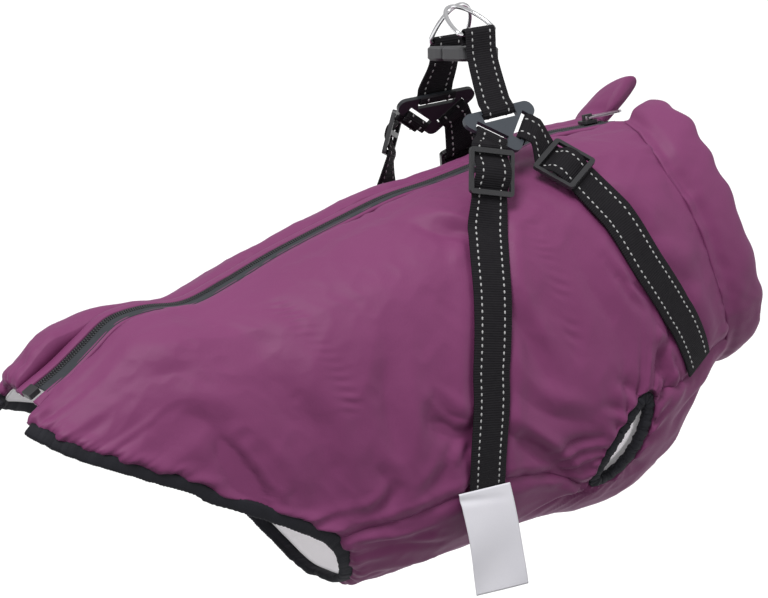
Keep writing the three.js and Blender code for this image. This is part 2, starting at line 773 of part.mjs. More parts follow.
// Frame of a slider: its place, the way the webbing runs through it and its face.
function sliderFrame(at, along, out) {
  const y = along.clone().normalize();
  const x = y.clone().cross(out).normalize();
  return { at, x, y, z: x.clone().cross(y) };
}

// Webbing through a slider: under its end bars and over the middle one.
function throughSlider(frame) {
  const rows = [
    { reach: -17, rise: 0 },
    { reach: -11.4, rise: 0 },
    { reach: -3.4, rise: 4.6 },
    { reach: 0, rise: 5 },
    { reach: 3.4, rise: 4.6 },
    { reach: 11.4, rise: 0 },
    { reach: 17, rise: 0 },
  ];
  return rows.map((row) => ({
    at: frame.at.clone().addScaledVector(frame.y, row.reach).addScaledVector(frame.z, row.rise),
    out: frame.z.clone(),
    width: STRAP.width,
  }));
}

function placed(frame, lift) {
  const matrix = new THREE.Matrix4().makeBasis(frame.x, frame.y, frame.z);
  return matrix.setPosition(frame.at.clone().addScaledVector(frame.z, lift));
}

// Stations of webbing that lies on the coat along a line, just clear of its skin.
const STRAP_CLEAR = 0.9;

function alongCoat(line, side, from, forward) {
  const steps = 22;
  const last = line[line.length - 1].angle;
  const stations = [];
  for (let k = 0; k <= steps; k += 1) {
    const angle = mix(from, last, k / steps);
    const ahead = forward * (1 - smooth((angle - FAR_GIRTH.from) / FAR_GIRTH.over));
    const s = lookUp(line, "angle", "s", angle) + ahead;
    const lift = STRAP.thickness / 2 + STRAP_CLEAR;
    stations.push({ at: onForm(s, side * angle, lift), out: formNormal(s, side * angle), width: STRAP.width });
  }
  return stations;
}

function webbing(stations) {
  alignAcross(stations, false);
  return sweep(stations, (k) => flatProfile(stations[k].width, STRAP.thickness), false);
}

const GIRTH_SLIDER = {
  near: {
    at: new THREE.Vector3(-17, -63, -102),
    along: new THREE.Vector3(-0.13, -0.2, -0.97),
    out: new THREE.Vector3(0, -1, 0.25),
  },
  far: {
    at: new THREE.Vector3(-11.4, 59.1, -84.7),
    along: new THREE.Vector3(-0.267, 0.037, -0.965),
    out: new THREE.Vector3(-0.75, 0.65, 0.2),
  },
};
// The far girth strap starts further forward and meets the near one's course lower down.
const FAR_GIRTH = { forward: 14, from: 44, over: 50 };
const GIRTH_START = 44;
const CHEST_START = 46;
const CHEST_SLIDER = { s: 10, angle: 33, lift: 6.0 };

function girthSliderFrame(side) {
  const spec = side < 0 ? GIRTH_SLIDER.near : GIRTH_SLIDER.far;
  return sliderFrame(spec.at, spec.along, spec.out);
}

function chestSliderFrame(side) {
  const at = onForm(CHEST_SLIDER.s, side * CHEST_SLIDER.angle, CHEST_SLIDER.lift);
  const plate = plateFrame(side);
  const bar = plate.at.clone().addScaledVector(plate.x, PLATE.chest.x).addScaledVector(plate.y, PLATE.chest.y);
  const out = formNormal(CHEST_SLIDER.s, side * CHEST_SLIDER.angle).addScaledVector(plate.z, 0.3).normalize();
  const along = at.clone().sub(bar);
  return sliderFrame(at, along.addScaledVector(out, -along.dot(out)), out);
}

function girthStrap(side) {
  const loop = loopRound(plateFrame(side), PLATE.girth, [-0.673, -0.74]);
  const forward = side < 0 ? 0 : FAR_GIRTH.forward;
  const onCoat = alongCoat(GIRTH_LINE, side, GIRTH_START, forward);
  return webbing([...loop, ...throughSlider(girthSliderFrame(side)), ...onCoat]);
}

function chestStrap(side) {
  const loop = loopRound(plateFrame(side), PLATE.chest, [0.673, -0.74]);
  const through = throughSlider(chestSliderFrame(side));
  return webbing([...loop, ...through, ...alongCoat(CHEST_LINE, side, CHEST_START, 0)]);
}

// Rings: bar centre, direction of the bar, and the way from the bar to the crown.
const RINGS = {
  near: { bar: new THREE.Vector3(1, -20, -18), crown: new THREE.Vector3(1.5, 3.4, -1.4) },
  far: { bar: new THREE.Vector3(4, 22, -24), crown: new THREE.Vector3(5, 7.2, -1.4) },
  along: new THREE.Vector3(0.974, 0.2, 0.1).normalize(),
};

function ringFrame(spec) {
  const rise = spec.crown.clone().sub(spec.bar);
  const x = RINGS.along.clone();
  const y = rise.addScaledVector(x, -rise.dot(x)).normalize();
  return { at: spec.bar, x, y, z: x.clone().cross(y) };
}

function dRing() {
  const stations = [];
  const corner = 3;
  const arcSteps = 18;
  const add = (x, y) => stations.push({ at: new THREE.Vector3(x, y, 0), out: new THREE.Vector3(0, 0, 1) });
  for (const x of [-11, -5.5, 0, 5.5, 11]) add(x, 0);
  add(RING.half - 0.9, 0.9);
  for (let k = 0; k <= arcSteps; k += 1) {
    const t = (Math.PI * k) / arcSteps;
    add(RING.half * Math.cos(t), corner + (RING.height - corner) * Math.sin(t));
  }
  add(-RING.half + 0.9, 0.9);
  alignAcross(stations, true);
  return sweep(stations, () => roundProfile(RING.wire, 7), true);
}

function roundProfile(radius, sides) {
  const profile = [];
  for (let i = 0; i < sides; i += 1) {
    const t = (2 * Math.PI * i) / sides;
    profile.push([radius * Math.cos(t), radius * Math.sin(t)]);
  }
  return profile;
}

// Buckle across the two back straps, below the rings
const BUCKLE = { at: new THREE.Vector3(2.5, 0.5, -31.5), width: 33, thickness: 9, female: 21, male: 13 };

function buckleFrame() {
  const x = new THREE.Vector3(0.974, 0.225, 0).normalize();
  const y = new THREE.Vector3(-0.225, 0.974, 0).normalize();
  return { at: BUCKLE.at, x, y, z: x.clone().cross(y) };
}

function buckleHalf(length) {
  const geometry = new THREE.ExtrudeGeometry(roundedBox(BUCKLE.width, length, 4), {
    depth: BUCKLE.thickness - 3,
    bevelThickness: 1.5,
    bevelSize: 1.5,
    bevelOffset: -1.5,
    bevelSegments: 1,
    curveSegments: 3,
  });
  return geometry.translate(0, 0, -(BUCKLE.thickness - 3) / 2);
}

// Back strap: from the plate's top slot up its outer side, over the ring's bar and down to the buckle.
function backStrap(side) {
  const plate = plateFrame(side);
  const ring = ringFrame(side < 0 ? RINGS.near : RINGS.far);
  const loop = loopRound(plate, PLATE.top, [0, 1]);
  const outward = new THREE.Vector3(0, side, 0);
  const over = [
    { y: 4.6, z: -14, tilt: 0 },
    { y: 3.2, z: -4, tilt: 0 },
    { y: 2.9, z: 0, tilt: 0 },
    { y: 2.05, z: 2.05, tilt: 45 },
    { y: 0, z: 2.9, tilt: 90 },
    { y: -2.05, z: 2.05, tilt: 135 },
    { y: -2.7, z: 0, tilt: 180 },
    { y: -1.6, z: -7, tilt: 180 },
  ];
  const top = over.map((row) => {
    const tilt = THREE.MathUtils.degToRad(row.tilt);
    const at = ring.at.clone().addScaledVector(outward, row.y).add(new THREE.Vector3(0, 0, row.z));
    const out = outward.clone().multiplyScalar(Math.cos(tilt)).add(new THREE.Vector3(0, 0, Math.sin(tilt)));
    return { at, out, width: STRAP.width };
  });
  const stations = [...loop, ...top];
  alignAcross(stations, false);
  for (const station of stations.slice(loop.length)) {
    station.across = ring.x.clone().multiplyScalar(Math.sign(station.across.dot(ring.x)));
  }
  return sweep(stations, (k) => flatProfile(stations[k].width, STRAP.thickness), false);
}

// Blank care label, a folded tape hanging from the end of the girth strap
function careLabel() {
  const rows = 8;
  const top = new THREE.Vector3(-34.5, -86.6, -291.7);
  const fall = new THREE.Vector3(0.23, 0.05, -0.97).normalize();
  const wide = new THREE.Vector3(0.98, -0.02, 0.13).normalize();
  const out = fall.clone().cross(wide).normalize();
  const stations = [];
  for (let k = 0; k <= rows; k += 1) {
    const t = k / rows;
    const bend = 1.8 * Math.sin(Math.PI * t);
    stations.push({ at: top.clone().addScaledVector(fall, 66 * t).addScaledVector(out, bend), out, across: wide });
  }
  return sweep(stations, () => flatProfile(36, 0.8), false);
}

// Finishes
const finish = (color, roughness, metalness) => new THREE.MeshStandardMaterial({ color, roughness, metalness });
const SHELL = finish(0x84486e, 0.55, 0);
const LINING_CLOTH = finish(0xc4c0c2, 0.8, 0);
const ELASTIC = finish(0x25252b, 0.8, 0);
const WEBBING = finish(0x1c1b1f, 0.85, 0);
const PLASTIC = finish(0x4a484d, 0.45, 0);
const ZIP_CLOTH = finish(0x36383f, 0.8, 0);
const CHROME = finish(0xd8d8dc, 0.12, 1);
const LABEL = finish(0xe8e6ec, 0.6, 0);

const coat = new THREE.Group();

function add(name, geometry, material, matrix) {
  const mesh = new THREE.Mesh(geometry, material.clone());
  mesh.name = name;
  if (matrix) matrix.decompose(mesh.position, mesh.quaternion, mesh.scale);
  coat.add(mesh);
}

for (const side of [-1, 1]) {
  const word = side < 0 ? "right" : "left";
  add(`side_panel_${word}`, sidePanel(side), SHELL);
  add(`lining_${word}`, sideLining(side), LINING_CLOTH);
  add(`armhole_binding_${word}`, armholeBinding(side), ELASTIC);
  const tape = zipStrip(ZIP.tailEnd, side, TAPE);
  add(`zip_tape_${word}`, tape, ZIP_CLOTH);
  const facing = zipStrip(ZIP.tailEnd - 9, side, FACING);
  add(`zip_facing_${word}`, facing, SHELL);
  add(`tri_plate_${word}`, triPlate(), PLASTIC, placedPlate(side));
  add(`girth_slider_${word}`, slider(), PLASTIC, placed(girthSliderFrame(side), SLIDER.rise));
  add(`chest_slider_${word}`, slider(), PLASTIC, placed(chestSliderFrame(side), SLIDER.rise));
  add(`girth_strap_${word}`, girthStrap(side), WEBBING);
  add(`chest_strap_${word}`, chestStrap(side), WEBBING);
  add(`back_strap_${word}`, backStrap(side), WEBBING);
  add(`d_ring_${word}`, dRing(), CHROME, placed(ringFrame(side < 0 ? RINGS.near : RINGS.far), 0));
}

add("belly_panel", bellyPanel(), SHELL);
add("lining_belly", bellyLining(), LINING_CLOTH);
add("hem_binding", hemBinding(), ELASTIC);
add("collar", collar(), SHELL);
add("zip_chain", zipChain(), ZIP_CLOTH);
add("zip_slider", zipSlider(), PLASTIC, onZip(ZIP.slider, SLIDE.lift));
add("zip_pull", zipPull(), PLASTIC, onZip(ZIP.slider, SLIDE.lift + PULL.height));
add("zip_box", roundedPlate(roundedBox(8, 9, 1), 3.4), PLASTIC, onZip(ZIP.tailEnd - 4.6, 0.2));
add("buckle_right", buckleHalf(BUCKLE.female), PLASTIC, placed(buckleFrame(), 0).multiply(
  new THREE.Matrix4().makeTranslation(0, -(BUCKLE.male + SEAM_GAP) / 2, 0)));
add("buckle_left", buckleHalf(BUCKLE.male), PLASTIC, placed(buckleFrame(), 0).multiply(
  new THREE.Matrix4().makeTranslation(0, (BUCKLE.female + SEAM_GAP) / 2, 0)));
add("care_label", careLabel(), LABEL);

export default coat;
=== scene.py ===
import bpy
import numpy as np
from mathutils import Matrix, Vector


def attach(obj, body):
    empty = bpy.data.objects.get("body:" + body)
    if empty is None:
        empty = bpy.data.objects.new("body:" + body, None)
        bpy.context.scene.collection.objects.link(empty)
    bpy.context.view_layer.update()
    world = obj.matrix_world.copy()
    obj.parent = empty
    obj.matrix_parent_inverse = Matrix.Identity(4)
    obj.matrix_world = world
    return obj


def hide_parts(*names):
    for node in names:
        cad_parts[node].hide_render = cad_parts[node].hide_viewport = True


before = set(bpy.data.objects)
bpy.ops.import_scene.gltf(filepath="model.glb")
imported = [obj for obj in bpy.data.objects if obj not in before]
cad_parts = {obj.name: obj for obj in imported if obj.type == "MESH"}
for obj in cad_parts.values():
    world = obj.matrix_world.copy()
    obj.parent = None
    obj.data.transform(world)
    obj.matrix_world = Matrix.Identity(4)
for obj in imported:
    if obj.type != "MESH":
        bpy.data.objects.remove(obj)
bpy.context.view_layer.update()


# The studio: a pale floor well below the hanging coat, soft light from all round, one broad
# lamp high on the left like a window, a weak one on the right, and the camera at the
# photograph's angle.
def camera_axes(azimuth, elevation):
    """Back, right and up directions of a camera that looks at the origin from these two angles."""
    a, e = np.radians(azimuth), np.radians(elevation)
    back = Vector((np.sin(a) * np.cos(e), -np.cos(a) * np.cos(e), np.sin(e)))
    right = Vector((np.cos(a), np.sin(a), 0.0))
    return back, right, back.cross(right)


VIEW_AZIMUTH = -30.0
VIEW_ELEVATION = 6.0
VIEW_DISTANCE = 2.0
VIEW_AIM = (-0.0508, 0.0070, -0.1840)
back, right, up = camera_axes(VIEW_AZIMUTH, VIEW_ELEVATION)
aim = Vector(VIEW_AIM)
camera_data = bpy.data.cameras.new("camera")
camera_data.lens = 150.0
camera_data.sensor_width = 36.0
camera_data.clip_end = 600.0
camera = bpy.data.objects.new("camera", camera_data)
bpy.context.scene.collection.objects.link(camera)
camera_turn = Matrix((right, up, back)).transposed().to_4x4()
camera.matrix_world = Matrix.Translation(aim + VIEW_DISTANCE * back) @ camera_turn
bpy.context.scene.camera = camera
bpy.context.scene.view_settings.view_transform = "Standard"

world = bpy.data.worlds.new("surround")
bpy.context.scene.world = world
world.use_nodes = True
sky_nodes, sky_links = world.node_tree.nodes, world.node_tree.links
sky_place = sky_nodes.new("ShaderNodeTexCoord")
sky_split = sky_nodes.new("ShaderNodeSeparateXYZ")
sky_ramp = sky_nodes.new("ShaderNodeMapRange")
# The light of the surround grows from below to above, by the height of its direction.
SKY_RAMP = {"From Min": -0.7, "From Max": 0.8, "To Min": 0.17, "To Max": 0.62}
for socket, value in SKY_RAMP.items():
    sky_ramp.inputs[socket].default_value = value
sky_links.new(sky_place.outputs["Generated"], sky_split.inputs["Vector"])
sky_links.new(sky_split.outputs["Z"], sky_ramp.inputs["Value"])
sky_links.new(sky_ramp.outputs["Result"], sky_nodes["Background"].inputs["Strength"])
sky_nodes["Background"].inputs["Color"].default_value = (1.0, 1.0, 1.0, 1.0)


def broad_lamp(name, towards, spread, strength):
    """Distant lamp whose light comes from a direction, softened over an angle in degrees."""
    data = bpy.data.lights.new(name, "SUN")
    data.energy = strength
    data.angle = np.radians(spread)
    lamp = bpy.data.objects.new(name, data)
    lamp.rotation_euler = Vector(towards).to_track_quat("Z", "Y").to_euler()
    bpy.context.scene.collection.objects.link(lamp)


broad_lamp("window", (-0.50, -0.42, 0.78), 26.0, 2.55)
broad_lamp("filler", (0.80, -0.60, 0.25), 40.0, 0.40)


def new_material(name, color, roughness, metallic=0.0):
    """Principled material with its links still to be made."""
    material = bpy.data.materials.new(name)
    material.use_nodes = True
    shader = material.node_tree.nodes["Principled BSDF"]
    shader.inputs["Base Color"].default_value = (*color, 1.0)
    shader.inputs["Roughness"].default_value = roughness
    shader.inputs["Metallic"].default_value = metallic
    return material, material.node_tree, shader


def mottle(tree, shader, dark, light, scale):
    """Base colour that drifts between two close colours with soft noise. Returns the node that
    gives the noise its place on the piece."""
    place = tree.nodes.new("ShaderNodeTexCoord")
    noise = tree.nodes.new("ShaderNodeTexNoise")
    noise.inputs["Scale"].default_value = scale
    noise.inputs["Detail"].default_value = 3.0
    blend = tree.nodes.new("ShaderNodeMix")
    blend.data_type = "RGBA"
    blend.inputs[6].default_value = (*dark, 1.0)
    blend.inputs[7].default_value = (*light, 1.0)
    tree.links.new(place.outputs["Object"], noise.inputs["Vector"])
    tree.links.new(noise.outputs["Fac"], blend.inputs[0])
    tree.links.new(blend.outputs[2], shader.inputs["Base Color"])
    return place


def relief(tree, shader, height, strength, distance):
    """Bump from a height socket."""
    bump = tree.nodes.new("ShaderNodeBump")
    bump.inputs["Strength"].default_value = strength
    bump.inputs["Distance"].default_value = distance
    tree.links.new(height, bump.inputs["Height"])
    tree.links.new(bump.outputs["Normal"], shader.inputs["Normal"])


def grain(tree, shader, place, scale, strength, distance):
    """Fine bump from noise of one scale."""
    noise = tree.nodes.new("ShaderNodeTexNoise")
    noise.inputs["Scale"].default_value = scale
    tree.links.new(place.outputs["Object"], noise.inputs["Vector"])
    relief(tree, shader, noise.outputs["Fac"], strength, distance)


METRE = 0.001


def piece_from(name, points, faces, material):
    """Mesh object at the origin from points in millimetres and faces as rows of their indices."""
    mesh = bpy.data.meshes.new(name)
    rows = faces.tolist() if isinstance(faces, np.ndarray) else faces
    mesh.from_pydata((np.asarray(points).reshape(-1, 3) * METRE).tolist(), [], rows)
    mesh.materials.append(material)
    mesh.polygons.foreach_set("use_smooth", np.ones(len(mesh.polygons), bool))
    mesh.update()
    piece = bpy.data.objects.new(name, mesh)
    bpy.context.scene.collection.objects.link(piece)
    return piece


FLOOR_HALF = 150000.0
FLOOR_HEIGHT = -1200.0
floor_paint, floor_tree, floor_shader = new_material("floor_paint", (0.975, 0.975, 0.975), 0.8)
mottle(floor_tree, floor_shader, (0.965, 0.965, 0.965), (0.985, 0.985, 0.985), 0.6)
floor = piece_from(
    "studio_floor",
    FLOOR_HALF * np.array([[-1, -1, 0], [1, -1, 0], [1, 1, 0], [-1, 1, 0]]) + [0, 0, FLOOR_HEIGHT],
    [[0, 1, 2, 3]],
    floor_paint,
)
floor.visible_diffuse = False


# Side panels: the two large pieces of the shell, thin purple polyester over wadding, cut from
# the zip to the belly and sewn into the hem's elastic, the zip and the collar. They pucker
# along two lines where the wadding is caught, and draw in under the harness straps.
PITCH = np.radians(16.0)
ROUNDNESS = 2.4
CHANNEL_DEPTH = 3.5
CHANNEL_HALF = 30.0
SEAM_GAP = 0.3
BINDING_WIDTH = 9.2
TAPE_OVERLAP = 2.2

# Columns: s along the back, height of the zip line, height of the belly line, half width, roll.
SECTIONS = np.array([
    [-385, -154.0, -286, 46, 13],
    [-350, -138.0, -296, 58, 12],
    [-325, -129.0, -300, 65, 11],
    [-305, -120.0, -303, 70, 10],
    [-285, -111.5, -304, 74, 8],
    [-262, -112.0, -305, 78, 6],
    [-235, -118.0, -307, 82, 4],
    [-205, -114.5, -311.5, 86, 3],
    [-170, -108.5, -320, 89, 1],
    [-115, -102.5, -323, 92, 0],
    [-85, -100.0, -324.5, 93, 0],
    [-50, -101.0, -326, 94, 0],
    [0, -100.0, -333, 93, 0],
    [35, -98.0, -324, 89, 0],
    [65, -102.0, -302, 83.5, 0],
    [90, -105.0, -281, 77, 0],
    [125, -108.0, -273, 73.5, 0],
], float)
# Columns: angle from the spine, s of the hem; the same for the neck seam.
HEM = np.array([
    [0, -368], [22, -365], [35, -360], [52, -348], [69, -326], [86.5, -295],
    [101, -257], [111.5, -233], [120.5, -217], [131, -208.5], [150, -202], [180, -200],
], float)
NECK = np.array([[0, 87], [30, 80], [50, 78], [67, 82], [90, 88], [110, 94], [130, 98], [180, 101]], float)
# Columns: s, angle of the seam between side and belly.
SEAM = np.array([
    [-215, 119.0], [-160, 119.0], [-111, 118.0], [-75, 122.0], [-50, 129.5],
    [-32, 135.4], [20, 109.6], [40, 113.0], [65, 121.0], [102, 132.0],
], float)
# Columns: s, half the gap that the zip fills on the near side, and on the far side.
BACK_EDGE = np.array([[-380, 25, 13.4], [-358, 18, 12.9], [-338, 12.7, 12.7], [110, 12.7, 12.7]], float)
ARMHOLE = {"s": -6.0, "angle": 122.5, "long": 37.0, "short": 15.0, "turn": np.radians(128.0)}


def spline(table, key, column=1):
    """Smooth value of a table's column at a key: cubic pieces whose slopes join neighbouring rows."""
    x, y = table[:, 0], table[:, column]
    slope = np.empty(len(x))
    slope[1:-1] = (y[2:] - y[:-2]) / (x[2:] - x[:-2])
    slope[0] = (y[1] - y[0]) / (x[1] - x[0])
    slope[-1] = (y[-1] - y[-2]) / (x[-1] - x[-2])
    k = np.clip(np.asarray(key, float), x[0], x[-1])
    i = np.clip(np.searchsorted(x, k, side="left") - 1, 0, len(x) - 2)
    span = x[i + 1] - x[i]
    t = (k - x[i]) / span
    hold = y[i] * (2 * t**3 - 3 * t**2 + 1) + y[i + 1] * (3 * t**2 - 2 * t**3)
    lean = slope[i] * span * (t**3 - 2 * t**2 + t) + slope[i + 1] * span * (t**3 - t**2)
    return hold + lean


def smooth(value):
    """Soft step from 0 to 1."""
    t = np.clip(value, 0.0, 1.0)
    return t * t * (3 - 2 * t)


def mix(a, b, t):
    """Straight blend from a to b."""
    return a + (b - a) * t


def power(value, exponent):
    """Signed power."""
    return np.sign(value) * np.abs(value) ** exponent


def form_point(s, angle):
    """Point of the body's outer form: a rounded section at s, at a signed angle down from the spine,
    below 0 on the near side, rolled about the zip line and pitched with the coat."""
    s, angle = np.broadcast_arrays(np.asarray(s, float), np.asarray(angle, float))
    zip_height, belly = spline(SECTIONS, s, 1), spline(SECTIONS, s, 2)
    half, roll = spline(SECTIONS, s, 3), np.radians(spline(SECTIONS, s, 4))
    top = zip_height + CHANNEL_DEPTH
    turn = np.radians(angle)
    y = half * power(np.sin(turn), 2 / ROUNDNESS)
    rise = 0.5 * (top - belly) * power(np.cos(turn), 2 / ROUNDNESS)
    sink = np.where(np.abs(angle) < 90, CHANNEL_DEPTH * (1 - smooth(np.abs(y) / CHANNEL_HALF)), 0.0)
    down = 0.5 * (top + belly) + rise - sink - zip_height
    rolled_y = y * np.cos(roll) - down * np.sin(roll)
    rolled_h = zip_height + down * np.cos(roll) + y * np.sin(roll)
    x = s * np.cos(PITCH) - rolled_h * np.sin(PITCH)
    z = s * np.sin(PITCH) + rolled_h * np.cos(PITCH)
    return np.stack([x, rolled_y, z], axis=-1)


def form_normal(s, angle):
    """Outward direction of the form, from the cross product of its two tangents."""
    step = 0.5
    along = form_point(s + step, angle) - form_point(s - step, angle)
    around = form_point(s, angle + step) - form_point(s, angle - step)
    normal = np.cross(along, around)
    return normal / np.linalg.norm(normal, axis=-1, keepdims=True)


def on_form(s, angle, lift):
    """Point of the form moved outwards by lift."""
    return form_point(s, angle) + form_normal(s, angle) * np.asarray(lift, float)[..., None]


def angle_at(s, y):
    """Angle at which the form is y away from the zip line."""
    turn = np.arcsin(np.minimum((np.abs(y) / spline(SECTIONS, s, 3)) ** (ROUNDNESS / 2), 1.0))
    return np.sign(y) * np.degrees(turn)


def hem_slant(angle):
    """How far along s a step of one millimetre square to the hem goes."""
    size = np.minimum(np.abs(angle), 179.0)
    path = form_point(spline(HEM, size + 1), size + 1) - form_point(spline(HEM, size - 1), size - 1)
    path /= np.linalg.norm(path, axis=-1, keepdims=True)
    at = spline(HEM, size)
    along = (form_point(at + 1, size) - form_point(at - 1, size)) / 2
    square = along - path * np.sum(along * path, axis=-1, keepdims=True)
    return 1 / np.linalg.norm(square, axis=-1)


def panel_start(angle, ragged=1.0):
    """Place s of the panels' edge, which hangs unevenly over the hem's elastic."""
    along = 2.2 * np.abs(angle)
    scallops = 1.3 * np.cos(2 * np.pi * along / 23.0 + 2.5 * np.sin(along / 31.0))
    scallops += 0.6 * np.cos(along / 2.3)
    over_tape = BINDING_WIDTH - TAPE_OVERLAP - 0.7 * ragged * scallops
    return spline(HEM, np.abs(angle)) + over_tape * hem_slant(angle)


def hem_rise(size, far):
    """How much further forward than its line the hem runs under the belly, most on the far side
    (far is 1 there and 0 on the near side)."""
    far_rise = 9.0 * smooth((size - 78.0) / 25.0) - 3.0 * smooth((size - 150.0) / 30.0)
    return np.where(far > 0.5, far_rise, 6.0 * smooth((size - 135.0) / 45.0))


def panel_end(angle):
    """Place s where the panels end, just under the collar's edge."""
    return spline(NECK, np.abs(angle)) + 1.2


def panel_rows(angle_of, start, end, v, ragged, far):
    """Place s of each grid point between the hem and the neck, for columns whose angle depends on s."""
    for _ in range(24):
        size = angle_of(start)
        start = 0.5 * (start + panel_start(size, ragged) + hem_rise(size, far))
        end = 0.5 * (end + panel_end(angle_of(end)))
    return mix(start, end, v)


FAR_TAIL_SHORTER = 12.0


def side_grid(side, u, v, ragged=1.0):
    """s and signed angle of a side panel, u from the zip to the belly seam and v from the hem to
    the neck. The far one is a little shorter at the tail."""
    column = 1 if side < 0 else 2
    far = 1.0 if side > 0 else 0.0

    def angle_of(s):
        """Angle of each column of the grid at its place s."""
        return mix(np.abs(angle_at(s, spline(BACK_EDGE, s, column))), spline(SEAM, s), u)

    s = panel_rows(angle_of, mix(-360.0, -195.0, u), 90.0 + 0 * u, v, ragged, far)
    s = s + far * FAR_TAIL_SHORTER * (1 - v) ** 6 * smooth((48.0 - angle_of(s)) / 24.0)
    return s, side * angle_of(s)


LATTICE = 64


def soft_noise(x, y, size, seed):
    """Smooth random field from -1 to 1: random heights on a square lattice, joined by soft steps."""
    heights = np.random.default_rng(seed).uniform(-1, 1, (LATTICE, LATTICE))
    gx, gy = x / size, y / size
    i, j = np.floor(gx).astype(int), np.floor(gy).astype(int)
    tx, ty = smooth(gx - i), smooth(gy - j)

    def corner(a, b):
        """Height of the lattice point a steps ahead and b steps across."""
        return heights[(i + a) % LATTICE, (j + b) % LATTICE]

    return mix(mix(corner(0, 0), corner(1, 0), tx), mix(corner(0, 1), corner(1, 1), tx), ty)


# Millimetres round the body in a degree, about.
DEGREE = 1.7
# Folds, columns: s and angle of one end, the same of the other, half width, depth, how far the
# fold bows sideways, and how high the ridge stands beside it.
FOLDS = np.array([
    [-98, 27, -71, 46, 8, 3.4, 3, 1.6],
    [-84, 34, -66, 44, 4, 1.8, 1, 0.8],
    [-140, 91.5, -113, 99, 4.6, 5.2, 2, 2.2],
    [-134, 88, -112, 95, 3.0, 2.6, 2, 1.0],
    [-131, 101, -111, 98, 3.5, 2.2, -1, 1.0],
    [-127, 107, -112, 102, 4, 2.0, -2, 0.8],
    [-224, 50, -214, 90, 15, 3.2, 5, 1.2],
    [-217, 72, -206, 92, 8, 2.4, -3, 1.2],
    [-264, 80, -248, 97, 7, 3.6, 2, 2.0],
    [-284, 62, -262, 82, 10, 2.0, -4, 1.0],
    [-252, 79, -234, 96, 6, 2.2, 2, 1.2],
    [-296, 40, -262, 48, 12, 1.6, 4, 0.8],
    [-154, 70, -165, 100, 9, 2.8, 4, 1.4],
    [-150, 111, -134, 104, 5, 2.2, 2, 1.0],
    [-182, 96, -172, 112, 6, 2.2, -3, 1.2],
    [-197, 114, -168, 107, 5, 2.4, 3, 1.2],
    [-90, 103.5, -52, 126.5, 5.5, 5.4, -2, 2.4],
    [-80, 93, -34, 108, 6, 2.2, 4, 1.4],
    [-67, 70, -56, 91, 7, 3.2, 3, 1.6],
    [-30, 119, -58, 123, 3.5, 2.6, 2, 1.2],
    [-34, 126, -66, 124, 3.0, 2.2, -2, 1.0],
    [-27, 115, -58, 116.5, 3.5, 3.4, 2, 1.4],
    [-266, 82, -248, 98, 6, 4.6, 2, 2.0],
    [6, 106, -6, 99, 3.0, 2.4, 1, 1.0],
    [-3, 110, -20, 104, 3.0, 2.0, 1, 0.8],
    [27, 96, 31, 108, 4.5, 5.4, 1, 1.6],
    [38, 102, 44, 114, 3.0, 3.0, -1, 2.0],
    [30, 102, 40, 97, 5, 3.4, -2, 2.2],
    [10, 76, 21, 87, 2.6, 2.0, 2, 1.0],
    [15, 78, 31, 88, 2.6, 1.8, -2, 0.8],
    [5, 69, 13, 79, 3.5, 1.4, 1, 0.8],
    [-12, 60, 2, 92, 9, 1.6, 4, 0.8],
    [36, 60, 62, 76, 10, 1.8, 4, 0.8],
    [56, 84, 76, 92, 7, 2.0, 3, 1.0],
    [79, 50, 86, 86, 7, 2.6, 0, 0.6],
    [-52, 141, -25, 137, 4, 2.2, 2, 1.2],
    [-72, 148, -36, 143, 5, 2.4, -3, 1.4],
    [-197, 124, -150, 130, 4, 2.4, 3, 1.2],
    [-193, 131, -141, 139, 4, 2.0, -3, 1.0],
    [-178, 150, -120, 158, 7, 2.0, 5, 1.0],
    [20, 150, 70, 146, 7, 2.0, 4, 1.0],
    [40, 128, 70, 138, 5, 2.0, -3, 1.0],
], float)
# Every fold is a third deeper, and its ridge a third higher, than its row says.
FOLD_GAIN = np.array([1.0, 1.0, 1.0, 1.0, 1.0, 1.33, 1.0, 1.33])
# Straps that press the cloth, columns: angle, s of the girth strap; angle, s of the chest strap.
GIRTH_LINE = np.array([
    [31, -46.5], [42, -57.5], [55, -68.5], [69, -78.5], [81, -88], [91.5, -97.5],
    [102, -105], [110, -108.5], [118.4, -110.4],
], float)
CHEST_LINE = np.array([
    [38, 8], [50, 13], [63, 21.5], [76, 31], [86, 41], [95, 51], [106, 57.5], [116, 61.5],
], float)
# Line, angle at which the strap meets the cloth, and how far ahead of the line its top lies on
# the near side and on the far one.
STRAPS = ((GIRTH_LINE, 44.0, 0.0, 14.0), (CHEST_LINE, 47.0, 10.0, 10.0))
# Lines where the wadding is caught, columns: s and angle of one end, the same of the other.
CATCH_LINES = np.array([[-202, 28, -185, 84], [-33, 46, -33, 92]], float)


def creases(s, size, shift=0.0):
    """Height of the placed folds: a trough of Gaussian section, deepest in its middle, with a
    lower ridge along one side."""
    height = np.zeros_like(s)
    for s0, a0, s1, a1, half, depth, bow, ridge in FOLDS * FOLD_GAIN:
        run = np.array([s1 - s0, DEGREE * (a1 - a0)])
        length = np.hypot(*run)
        dx, dy = s - s0 - shift, DEGREE * (size - a0 - 0.5 * shift)
        t = (dx * run[0] + dy * run[1]) / length**2
        off = (dx * run[1] - dy * run[0]) / length + bow * np.sin(np.pi * np.clip(t, 0, 1))
        beyond = np.maximum(np.maximum(-t, t - 1), 0) * length
        swell = (0.35 + 0.65 * np.sin(np.pi * np.clip(t, 0.05, 0.95))) * np.exp(-((beyond / half) ** 2))
        height -= depth * swell * np.exp(-(np.abs(off / half) ** 1.4))
        height += ridge * swell * np.exp(-(((off - 1.7 * half) / (0.8 * half)) ** 2))
    return height


